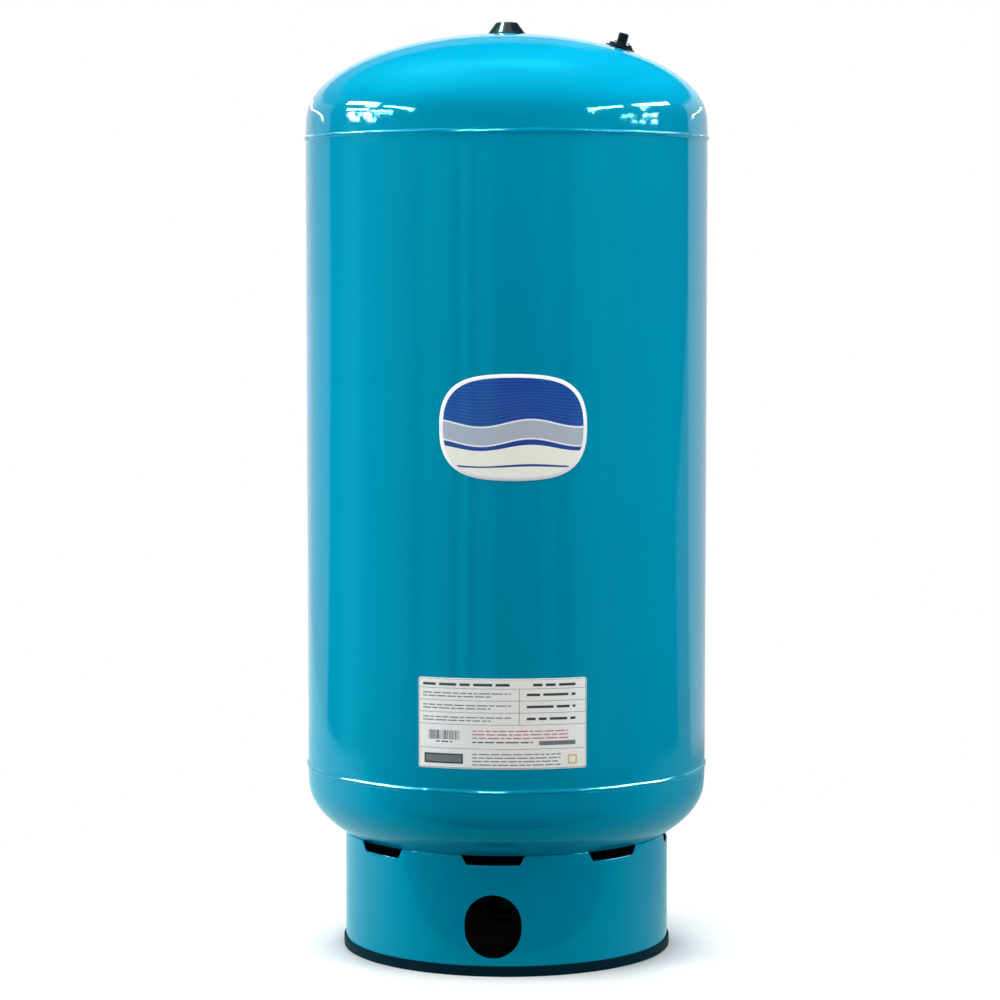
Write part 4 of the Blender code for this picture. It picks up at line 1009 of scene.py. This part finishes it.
def make_dust_group():
    """Faint dust: more of it on faces that look up and low on the object, broken up by noise."""
    tree, given, out = new_group("light dust", [("Amount", 0.2), ("Low Band", 0.05)], ["Mask"])
    place = tree.nodes.new("ShaderNodeTexCoord")
    normal = add(tree, "ShaderNodeSeparateXYZ", [(0, place.outputs["Normal"])])
    point = add(tree, "ShaderNodeSeparateXYZ", [(0, place.outputs["Object"])])
    upward = between(tree, normal.outputs["Z"], 0.2, 1.0)
    low = between(tree, point.outputs["Z"], given["Low Band"], 0.0)
    broken = between(tree, noise(tree, place.outputs["Object"], 60.0, 5.0, 0.7), 0.35, 0.8)
    mask = times(tree, times(tree, maths(tree, "MAXIMUM", upward, low), broken), given["Amount"])
    tree.links.new(mask, out.inputs["Mask"])
    return tree


def finish(name, colour, settings, skin, skin_values, bump, rough, dust, dust_amount, tone):
    """A material: a Principled BSDF whose colour, roughness and bump come from the two groups.

    rough is the roughness's lowest and highest value. tone is how far clouds vary the colour, and
    dust greys it.
    """
    material, tree, shader = new_material(name)
    for key, value in settings.items():
        shader.inputs[key].default_value = value
    surface = add(tree, "ShaderNodeGroup", skin_values.items(), node_tree=skin)
    cover = add(tree, "ShaderNodeGroup", [("Amount", dust_amount)], node_tree=dust).outputs["Mask"]
    darker = (*(c * (1 - tone) for c in colour), 1)
    lighter = (*(min(c * (1 + tone), 1.0) for c in colour), 1)
    cloudy = blend(tree, between(tree, surface.outputs["Cloud"], 0.3, 0.7), darker, lighter)
    tree.links.new(blend(tree, cover, cloudy, DUST_COLOUR), shader.inputs["Base Color"])
    gloss = between(tree, surface.outputs["Speck"], 0.3, 0.7, *rough)
    tree.links.new(plus(tree, gloss, times(tree, cover, 0.5)), shader.inputs["Roughness"])
    tree.links.new(relief(tree, surface, bump), shader.inputs["Normal"])
    return material


def make_underside(paint):
    """The enamel of the lower head, with painted shade within the skirt's circle: dark colour, no reflection.

    How much enamel shows follows from the point's distance from the tank's axis.
    """
    material = paint.copy()
    material.name = "teal_enamel_with_painted_shade"
    tree = material.node_tree
    shader = tree.nodes["Principled BSDF"]
    place = tree.nodes.new("ShaderNodeTexCoord").outputs["Object"]
    point = add(tree, "ShaderNodeSeparateXYZ", [(0, place)])
    flat = add(tree, "ShaderNodeCombineXYZ", [(0, point.outputs["X"]), (1, point.outputs["Y"])]).outputs[0]
    # Painted shade: within the skirt's circle the colour turns near black and the reflection falls to none
    unshaded_share = between(tree, length_of(tree, flat), SKIRT_RADIUS - 0.0012, SKIRT_RADIUS - 0.0002)
    enamel = shader.inputs["Base Color"].links[0].from_socket
    tree.links.new(blend(tree, unshaded_share, PAINTED_SHADE_COLOUR, enamel), shader.inputs["Base Color"])
    tree.links.new(times(tree, unshaded_share, 0.5), shader.inputs["Specular IOR Level"])
    return material


def make_label_vinyl(skin):
    """Glossy printed vinyl: the print's colours come from the sheet's own attribute."""
    material, tree, shader = new_material("printed_vinyl")
    shader.inputs["Coat Weight"].default_value = 0.6
    shader.inputs["Coat Roughness"].default_value = 0.12
    prints = add(tree, "ShaderNodeVertexColor", layer_name="print").outputs["Color"]
    surface = add(tree, "ShaderNodeGroup", [("Pimple Scale", 700.0)], node_tree=skin)
    fade = between(tree, surface.outputs["Cloud"], 0.3, 0.7, 0.0, 0.05)
    tree.links.new(blend(tree, fade, prints, AGED_PRINT_COLOUR), shader.inputs["Base Color"])
    gloss = between(tree, surface.outputs["Speck"], 0.3, 0.7, 0.28, 0.36)
    tree.links.new(gloss, shader.inputs["Roughness"])
    tree.links.new(relief(tree, surface, 0.00001), shader.inputs["Normal"])
    return material


# The enamel's colour, and its gloss with the reddish part of a straight reflection held back
PAINT_COLOUR = (0.000, 0.250, 0.402)
PAINT_GLOSS = {"IOR": 1.5, "Specular Tint": (0.15, 0.92, 1.0, 1)}
# Near black colour of the painted shade on the lower head within the skirt's circle
PAINTED_SHADE_COLOUR = (0.003, 0.006, 0.012, 1)
DUST_COLOUR = (0.42, 0.42, 0.41, 1)
AGED_PRINT_COLOUR = (0.60, 0.58, 0.50, 1)


def make_materials():
    """Every finish of the tank.

    quick takes a name, a colour, settings of the shader, the scale of the skin's pimples, the bump's
    height, the roughness's two limits, the amount of dust, the share by which clouds vary the
    colour, and the scale and share of the skin's waves.
    """
    skin, dust = make_orange_peel_group(), make_dust_group()

    def quick(name, colour, settings, pimples, bump, rough, amount=0.1, tone=0.06, waves=(26.0, 0.5)):
        values = {"Pimple Scale": pimples, "Wave Scale": waves[0], "Wave Share": waves[1]}
        return finish(name, colour, settings, skin, values, bump, rough, dust, amount, tone)

    steel = {"Metallic": 1.0}
    finishes = {
        "paint": quick("teal_enamel", PAINT_COLOUR, PAINT_GLOSS, 380.0,
                       0.00004, (0.045, 0.065), 0.0, 0.02, (60.0, 0.6)),
        "rubber": quick("strip_rubber", (0.003, 0.017, 0.028), {"Specular IOR Level": 0.04}, 900.0,
                        0.00001, (0.50, 0.60), 0.0),
        "plastic": quick("moulded_plastic", (0.005, 0.010, 0.013), {"Specular IOR Level": 0.35}, 1200.0,
                         0.00001, (0.26, 0.36), 0.02),
        "polished": quick("polished_plastic", (0.004, 0.008, 0.012), {"IOR": 1.5}, 1200.0,
                          0.000005, (0.10, 0.16), 0.0),
        # Painted shade: the elbow sits in the dark inside the base, so its steel is a darker copy of the
        # stainless
        "elbow": quick("stainless_with_painted_shade", (0.16, 0.17, 0.18), steel, 500.0, 0.00002, (0.42, 0.55)),
        "stainless": quick("stainless_steel", (0.50, 0.51, 0.52), steel, 500.0, 0.00002, (0.26, 0.38)),
        "zinc": quick("zinc_plating", (0.46, 0.47, 0.48), steel, 260.0, 0.00002, (0.32, 0.48)),
        "brass": quick("turned_brass", (0.62, 0.43, 0.16), steel, 1400.0, 0.00001, (0.20, 0.32), 0.05),
        "butyl": quick("butyl_rubber", (0.018, 0.018, 0.018), {}, 500.0, 0.00003, (0.60, 0.75), 0.2),
        "polymer": quick("liner_polymer", (0.74, 0.75, 0.72), {}, 400.0, 0.00002, (0.40, 0.50), 0.05),
        "label": make_label_vinyl(skin),
    }
    finishes["underside"] = make_underside(finishes["paint"])
    finishes["weld"] = quick("teal_enamel_on_welds", PAINT_COLOUR, PAINT_GLOSS, 230.0,
                             0.00065, (0.04, 0.07), 0.0, 0.02, (75.0, 1.2))
    return finishes


def finish_plain_nodes(finishes):
    """Give the solids that stay as they are the finish of their kind."""
    kinds = {"lifting_boss": "zinc", "clench_ring": "zinc", "inlet_washer": "zinc", "liner": "polymer",
             "inlet_fitting": "stainless", "inlet_seal": "rubber", "diaphragm": "butyl"}
    for node, kind in kinds.items():
        for slot in frame["nodes"][node].material_slots:
            slot.material = finishes[kind]


# Studio

CAMERA_AZIMUTH = math.radians(4.7)
CAMERA_DISTANCE = 4.2377
CAMERA_HEIGHT = 0.9177
CAMERA_PITCH = math.radians(4.207)
CAMERA_TURN = math.radians(0.121)
CAMERA_LENS = 112.7

# What gloss on the tank mirrors: a white backdrop behind it, a paler tier over it, and a dim room
# in front. SKY_LIGHT is the background as diffuse light meets it.
BACKDROP_TOP = 0.34
TIER_TOP = 0.53
TIER_LIGHT = 0.24
TIER_RIGHT = 0.08
BACKDROP_LEFT = math.radians(120.6)
BACKDROP_RIGHT = math.radians(126.3)
BACKDROP_LIGHT = 0.9
WING_LIGHT = 0.34
ROOM_LIGHT = 0.012
SKY_LIGHT = 0.02

# Strength of the backdrop from its left side to its right: a share to the right, and the strength
BACKDROP_SWEEP = [(-0.60, 0.67), (-0.42, 0.95), (0.30, 0.80), (0.75, 0.95)]

# The white sheet that the tank stands on, as gloss mirrors it: its front edge, half its width, its
# strength on the left and on the right, and the red share that it reaches behind its front edge
SHEET_FRONT = 0.345
SHEET_SIDE = 1.95
SHEET_MIRRORED = 0.95
SHEET_SHADE = 0.40
SHEET_RED = 0.60

# The backdrop's wing on the floor: how fast its edge comes nearer to the camera, and how far at most
WING_SPREAD = 0.26
WING_REACH = 2.1

# The red share of stripes and patches, then the floor's lightness for light that bounces off it,
# its lightness for the camera, and the share of it that is left under the skirt, as painted shadow
STRIPE_RED = 0.05
FLOOR_BOUNCE = 0.20
FLOOR_SEEN = 0.90
FLOOR_PAINTED_SHADOW = 0.10
WHITE = (1, 1, 1, 1)

# Soft lamps: name, azimuth from the camera's side, elevation, distance, width and height, power,
# and the height that they look at
SOFT_LAMPS = [
    ("front_top", 0, 55, 1.6, (1.6, 1.0), 25.5, 1.10),
    ("overhead", 180, 85, 1.2, (1.4, 1.4), 43.5, 1.25),
    ("left_front", -60, 0, 1.7, (0.5, 1.2), 15.8, 0.64),
    ("left_side", -90, 0, 1.5, (0.5, 1.2), 13.5, 0.64),
    ("right_front", 60, 0, 1.7, (0.5, 1.2), 17.6, 0.64),
    ("right_side", 90, 0, 1.5, (0.5, 1.2), 2.5, 0.64),
    ("back_left", -160, 12, 2.0, (0.9, 1.6), 20.0, 0.65),
    ("back_right", 160, 12, 2.0, (0.9, 1.6), 20.0, 0.65),
]

# Tubes and windows that only gloss mirrors: azimuth, elevation, width, height, roll, brightness
GLINT_DISTANCE = 5.0
GLINT_TARGET = 1.12
ENAMEL_GLINTS = [
    (-93.5, 23.3, 2.20, 0.34, 1.5, 150),
    (-83.5, 19.3, 0.72, 0.50, 0.0, 130),
    (-63.0, 15.2, 1.90, 0.26, -20.0, 150),
    (-93.0, 12.2, 1.50, 0.20, 0.0, 120),
    (-74.0, 9.8, 1.30, 0.11, -3.0, 120),
    (-97.0, 7.5, 0.46, 0.14, 0.0, 130),
    (-93.8, 6.1, 0.56, 0.07, 0.0, 110),
    (-89.5, 8.0, 0.24, 0.07, 0.0, 90),
    (-83.5, 7.6, 0.50, 0.14, 0.0, 130),
    (-81.0, 6.0, 0.62, 0.07, 0.0, 110),
    (-76.5, 8.1, 0.24, 0.07, 0.0, 90),
    (57.5, 14.8, 2.05, 0.27, 19.0, 150),
    (93.6, 21.4, 2.65, 0.34, 3.5, 150),
    (84.5, 16.0, 0.60, 0.13, 4.0, 90),
    (82.6, 11.8, 0.20, 0.30, 0.0, 80),
    (71.0, 7.4, 0.80, 0.030, 0.0, 120),
    (87.0, 7.5, 1.00, 0.035, 0.0, 140),
    (75.0, 5.2, 0.30, 0.030, 0.0, 70),
    (81.0, 5.3, 0.40, 0.035, 0.0, 90),
    (90.0, 5.3, 0.40, 0.035, 0.0, 90),
    (-151.5, 8.5, 2.18, 0.030, 0.0, 50),
    (-133.0, 6.7, 1.08, 0.030, -14.5, 50),
    (141.0, 7.6, 2.00, 0.030, 10.0, 30),
]
WELD_GLINTS = [
    (-80.0, 14.0, 3.0, 0.50, 0.0, 1500),
    (78.0, 14.0, 3.6, 0.50, 0.0, 1100),
    (-15.0, 14.0, 0.4, 0.50, 0.0, 3600),
]
PLUG_GLINTS = [
    (-106.0, 70.0, 2.2, 1.0, 0.0, 32),
    (0.0, 86.0, 3.6, 2.4, 0.0, 0.9),
]
PLASTIC_GLINTS = [
    (-60.0, 30.0, 1.2, 1.2, 0.0, 3.0),
]

# Soft round patches of the room overhead: azimuth, elevation, half angle and brightness
PATCHES = [
    (-91, 64, 32, 1.3),
    (-152, 61, 15, 1.0),
    (169, 65, 13, 1.5),
    (-146, 44, 17, 0.4),
]

# Upright pale stripes of the room, mirrored by the wall: azimuth, half width and brightness
STRIPES = [
    (-98.0, 9.0, 0.4),
    (-39.5, 10.0, 0.75),
    (-23.5, 3.2, 1.0),
    (-12.0, 6.5, 0.65),
    (23.0, 5.0, 0.3),
    (48.0, 12.0, 0.55),
]


def toward(azimuth, elevation):
    """Unit direction at an azimuth from the camera's side and an elevation, in degrees."""
    angle, up = CAMERA_AZIMUTH + math.radians(azimuth), math.radians(elevation)
    return Vector((math.sin(angle) * math.cos(up), -math.cos(angle) * math.cos(up), math.sin(up)))


def make_camera():
    """The camera at the photograph's angle."""
    data = bpy.data.cameras.new("camera")
    data.lens = CAMERA_LENS
    data.sensor_width = 36.0
    camera = show("camera", data)
    camera.location = (CAMERA_DISTANCE * math.sin(CAMERA_AZIMUTH),
                       -CAMERA_DISTANCE * math.cos(CAMERA_AZIMUTH), CAMERA_HEIGHT)
    camera.rotation_euler = (math.pi / 2 - CAMERA_PITCH, 0, CAMERA_AZIMUTH + CAMERA_TURN)
    bpy.context.scene.camera = camera


def ramp(tree, value, low, high, start=0.0, end=1.0):
    """A smooth step of a value between two limits."""
    return between(tree, value, low, high, start, end, "SMOOTHSTEP")


def weighed(tree, first, first_weight, second, second_weight):
    """The sum of two values, each times its weight."""
    return plus(tree, times(tree, first, first_weight), times(tree, second, second_weight))


def from_camera_side(tree, vector):
    """A vector's share to the right and its share away from the camera, both level, and its height."""
    part = add(tree, "ShaderNodeSeparateXYZ", [(0, vector)])
    x, y, height = part.outputs
    sin, cos = math.sin(CAMERA_AZIMUTH), math.cos(CAMERA_AZIMUTH)
    return weighed(tree, x, cos, y, sin), weighed(tree, y, cos, x, -sin), height


def behind_edges(tree, right, away, reach):
    """How far a point or direction lies behind two slanting edges that fan out from the tank.

    Each edge runs off at its azimuth, and the smaller distance counts. The right one is moved nearer
    to the camera by the reach.
    """
    left = weighed(tree, right, -math.cos(BACKDROP_LEFT), away, math.sin(BACKDROP_LEFT))
    other = weighed(tree, right, math.cos(BACKDROP_RIGHT), away, math.sin(BACKDROP_RIGHT))
    return maths(tree, "MINIMUM", left, plus(tree, other, reach))


def backdrop_strength(tree, right):
    """Strength of the backdrop by the share to the right of a level direction."""
    sweep = add(tree, "ShaderNodeValToRGB", [(0, between(tree, right, -1.0, 1.0))])
    points = sweep.color_ramp.elements
    while len(points) < len(BACKDROP_SWEEP):
        points.new(0.5)
    for point, (share, strength) in zip(points, BACKDROP_SWEEP):
        point.position = (share + 1) / 2
        point.color = (strength, strength, strength, 1)
    return sweep.outputs[0]


def stripes(tree, right, away):
    """Brightness of the upright stripes at a point or direction, by its azimuth."""
    azimuth = maths(tree, "ARCTAN2", right, times(tree, away, -1.0))
    total = 0.0
    for centre, half, strength in STRIPES:
        apart = maths(tree, "ABSOLUTE", maths(tree, "SUBTRACT", azimuth, math.radians(centre)))
        half = math.radians(half)
        total = plus(tree, ramp(tree, apart, half * 1.15, half * 0.6, 0, strength), total)
    return total


def patches(tree, direction):
    """Brightness of the soft patches in a direction: full at a patch's middle, none past its half angle."""
    total = 0.0
    for azimuth, elevation, half, strength in PATCHES:
        aim = add(tree, "ShaderNodeVectorMath", [(0, direction), (1, toward(azimuth, elevation))],
                  operation="DOT_PRODUCT").outputs["Value"]
        edge, middle = math.cos(math.radians(half)), math.cos(math.radians(half) * 0.3)
        total = plus(tree, ramp(tree, aim, edge, middle, 0, strength), total)
    return total


def red_and_rest(tree, red, rest):
    """A colour with one strength for its red and another for its green and blue."""
    return add(tree, "ShaderNodeCombineColor", [(0, red), (1, rest), (2, rest)]).outputs[0]


def mirrored_floor(tree, right, away, distance):
    """What gloss on the tank mirrors of the floor, as its red strength and that of the rest.

    Near the tank this is the white sheet, with a straight front edge and a limited width, and far
    from it the backdrop's two fans and the room's stripes.
    """
    front = ramp(tree, away, -SHEET_FRONT - 0.02, -SHEET_FRONT)
    side = ramp(tree, maths(tree, "ABSOLUTE", right), SHEET_SIDE + 0.05, SHEET_SIDE)
    across = ramp(tree, right, -0.6, 1.2, SHEET_MIRRORED, SHEET_SHADE)
    sheet = times(tree, times(tree, front, side), across)
    far = ramp(tree, distance, 1.4, 2.2)
    fan = ramp(tree, maths(tree, "DIVIDE", behind_edges(tree, right, away, 0.0), distance), -0.008, 0.008)
    reach = maths(tree, "MINIMUM", times(tree, distance, WING_SPREAD), WING_REACH)
    wing = ramp(tree, maths(tree, "DIVIDE", behind_edges(tree, right, away, reach), distance), -0.012, 0.012)
    both = weighed(tree, fan, BACKDROP_LIGHT - WING_LIGHT, wing, WING_LIGHT)
    strength = backdrop_strength(tree, maths(tree, "DIVIDE", right, distance))
    backdrop = times(tree, times(tree, both, strength), far)
    bands = times(tree, stripes(tree, right, away), far)
    sheet_red = times(tree, sheet, ramp(tree, away, -SHEET_FRONT, 0.05, 0.02, SHEET_RED))
    red = plus(tree, maths(tree, "MAXIMUM", backdrop, sheet_red), times(tree, bands, STRIPE_RED))
    return red, plus(tree, maths(tree, "MAXIMUM", backdrop, sheet), bands)


def make_floor():
    """A wide pale floor.

    The camera sees it fade into the white background far from the tank. Other light meets it much
    darker, and gloss on the tank mirrors it as mirrored_floor says. Under the skirt it has painted shadow.
    """
    extent = 40.0
    mesh = bpy.data.meshes.new("floor")
    corners = [(-extent, -extent, 0), (extent, -extent, 0), (extent, extent, 0), (-extent, extent, 0)]
    mesh.from_pydata(corners, [], [(0, 1, 2, 3)])
    floor = show("floor", mesh)
    material, tree, shader = new_material("pale_floor")
    shader.inputs["Roughness"].default_value = 0.8
    shader.inputs["Specular IOR Level"].default_value = 0.0
    place = tree.nodes.new("ShaderNodeTexCoord").outputs["Object"]
    right, away, _ = from_camera_side(tree, place)
    distance = length_of(tree, place)
    path = tree.nodes.new("ShaderNodeLightPath").outputs
    # Painted shadow: under the skirt the floor is dark for every ray, and what gloss mirrors of it is cut
    outside = ramp(tree, distance, SKIRT_RADIUS - 0.006, SKIRT_RADIUS, FLOOR_PAINTED_SHADOW, 1.0)
    lit = maths(tree, "POWER", outside, 3.0)
    red, rest = mirrored_floor(tree, right, away, distance)
    mirrored = red_and_rest(tree, times(tree, red, lit), times(tree, rest, lit))
    bright = weighed(tree, path["Is Camera Ray"], FLOOR_SEEN, path["Is Diffuse Ray"], FLOOR_BOUNCE)
    bright = times(tree, bright, outside)
    tree.links.new(red_and_rest(tree, bright, bright), shader.inputs["Base Color"])
    fade = times(tree, ramp(tree, distance, 0.24, 1.1), path["Is Camera Ray"])
    cover = maths(tree, "MAXIMUM", fade, path["Is Glossy Ray"])
    glow = add(tree, "ShaderNodeEmission", [("Color", blend(tree, path["Is Glossy Ray"], WHITE, mirrored))])
    mix = add(tree, "ShaderNodeMixShader", [(0, cover), (1, shader.outputs[0]), (2, glow.outputs[0])])
    tree.links.new(mix.outputs[0], tree.nodes["Material Output"].inputs["Surface"])
    mesh.materials.append(material)


def make_world():
    """A white background, a white backdrop for what gloss mirrors behind the tank, and a dim room."""
    world = bpy.data.worlds.new("studio")
    bpy.context.scene.world = world
    world.use_nodes = True
    tree = world.node_tree
    for node in list(tree.nodes):
        tree.nodes.remove(node)
    direction = tree.nodes.new("ShaderNodeTexCoord").outputs["Generated"]
    right, away, height = from_camera_side(tree, direction)
    path = tree.nodes.new("ShaderNodeLightPath").outputs
    behind = ramp(tree, behind_edges(tree, right, away, 0.0), -0.008, 0.008)
    low = ramp(tree, height, BACKDROP_TOP, BACKDROP_TOP - 0.06)
    high = times(tree, low, ramp(tree, height, 0.10, 0.25, BACKDROP_LIGHT, BACKDROP_LIGHT * 1.1))
    tier = ramp(tree, height, TIER_TOP, TIER_TOP - 0.06, 0.0, TIER_LIGHT)
    tier = times(tree, tier, ramp(tree, right, TIER_RIGHT + 0.08, TIER_RIGHT))
    backdrop = times(tree, maths(tree, "MAXIMUM", high, tier), behind)
    backdrop = times(tree, backdrop, backdrop_strength(tree, right))
    bands = times(tree, stripes(tree, right, away), ramp(tree, height, 0.09, 0.05))
    tinted = plus(tree, bands, patches(tree, direction))
    white = plus(tree, backdrop, ROOM_LIGHT)
    red = plus(tree, white, times(tree, tinted, STRIPE_RED))
    mirrored = red_and_rest(tree, red, plus(tree, white, tinted))
    plain = blend(tree, path["Is Glossy Ray"], (SKY_LIGHT, SKY_LIGHT, SKY_LIGHT, 1), mirrored)
    shown = blend(tree, path["Is Camera Ray"], plain, WHITE)
    background = add(tree, "ShaderNodeBackground", [("Color", shown)])
    output = tree.nodes.new("ShaderNodeOutputWorld")
    tree.links.new(background.outputs[0], output.inputs[0])


def make_lamp(name, azimuth, elevation, distance, size, power, target, roll=0.0):
    """A rectangular lamp that looks at a point. Its azimuth is measured from the camera's side."""
    data = bpy.data.lights.new(name, "AREA")
    data.shape = "RECTANGLE"
    data.size, data.size_y = size
    data.energy = power
    lamp = show(name, data)
    angle = CAMERA_AZIMUTH + math.radians(azimuth)
    away = toward(azimuth, elevation)
    lamp.location = Vector((0, 0, target)) + away * distance
    across = Matrix.Rotation(math.radians(roll), 3, away) @ Vector((math.cos(angle), math.sin(angle), 0))
    lamp.rotation_euler = Matrix((across, away.cross(across), away)).transposed().to_euler()
    lamp.visible_camera = False
    return lamp


def make_glints(name, rows, pieces):
    """Bright lamps that only the gloss of some pieces mirrors. Power is brightness times pi times area."""
    receivers = bpy.data.collections.new(name)
    for piece in pieces:
        receivers.objects.link(piece)
    for index, (azimuth, elevation, width, height, roll, brightness) in enumerate(rows):
        power = brightness * math.pi * width * height
        lamp = make_lamp(f"{name}_{index}", azimuth, elevation, GLINT_DISTANCE, (width, height), power,
                         GLINT_TARGET, roll)
        lamp.visible_diffuse = False
        lamp.light_linking.receiver_collection = receivers


def make_studio(enamel, welds, plug, plastic):
    """Camera, floor, world and lamps. The lists are the pieces that the sets of glints show on."""
    make_camera()
    make_floor()
    make_world()
    for name, azimuth, elevation, distance, size, power, target in SOFT_LAMPS:
        make_lamp(name, azimuth, elevation, distance, size, power, target).visible_glossy = False
    make_glints("enamel_glint", ENAMEL_GLINTS, enamel)
    make_glints("lower_weld_glint", WELD_GLINTS[:2], welds[1:])
    make_glints("weld_glint", WELD_GLINTS[2:], welds)
    make_glints("plug_glint", PLUG_GLINTS, plug)
    make_glints("plastic_glint", PLASTIC_GLINTS, plastic)


finishes = make_materials()
body = make_body(finishes["paint"])
heads = make_heads(finishes["paint"], finishes["underside"])
welds = [make_girth_weld("upper_girth_bead", UPPER_SEAM_Z, "upper_girth_weld", finishes["weld"]),
         make_girth_weld("lower_girth_bead", LOWER_SEAM_Z, "lower_girth_weld", finishes["weld"])]
seam = make_seam_weld(finishes["weld"])
skirt = make_skirt(finishes["paint"])
make_foot_ring(finishes["rubber"])
plug = make_plug(finishes["polished"])
valve = make_valve(finishes["plastic"], finishes["brass"], finishes["rubber"], finishes["paint"])
make_water_connection(finishes["zinc"], finishes["elbow"])
make_badge(finishes["label"])
make_rating_label(finishes["label"])
finish_plain_nodes(finishes)
make_studio([body, *heads, *welds, seam, skirt], welds, [plug], valve)
bpy.context.scene.view_settings.view_transform = "Standard"
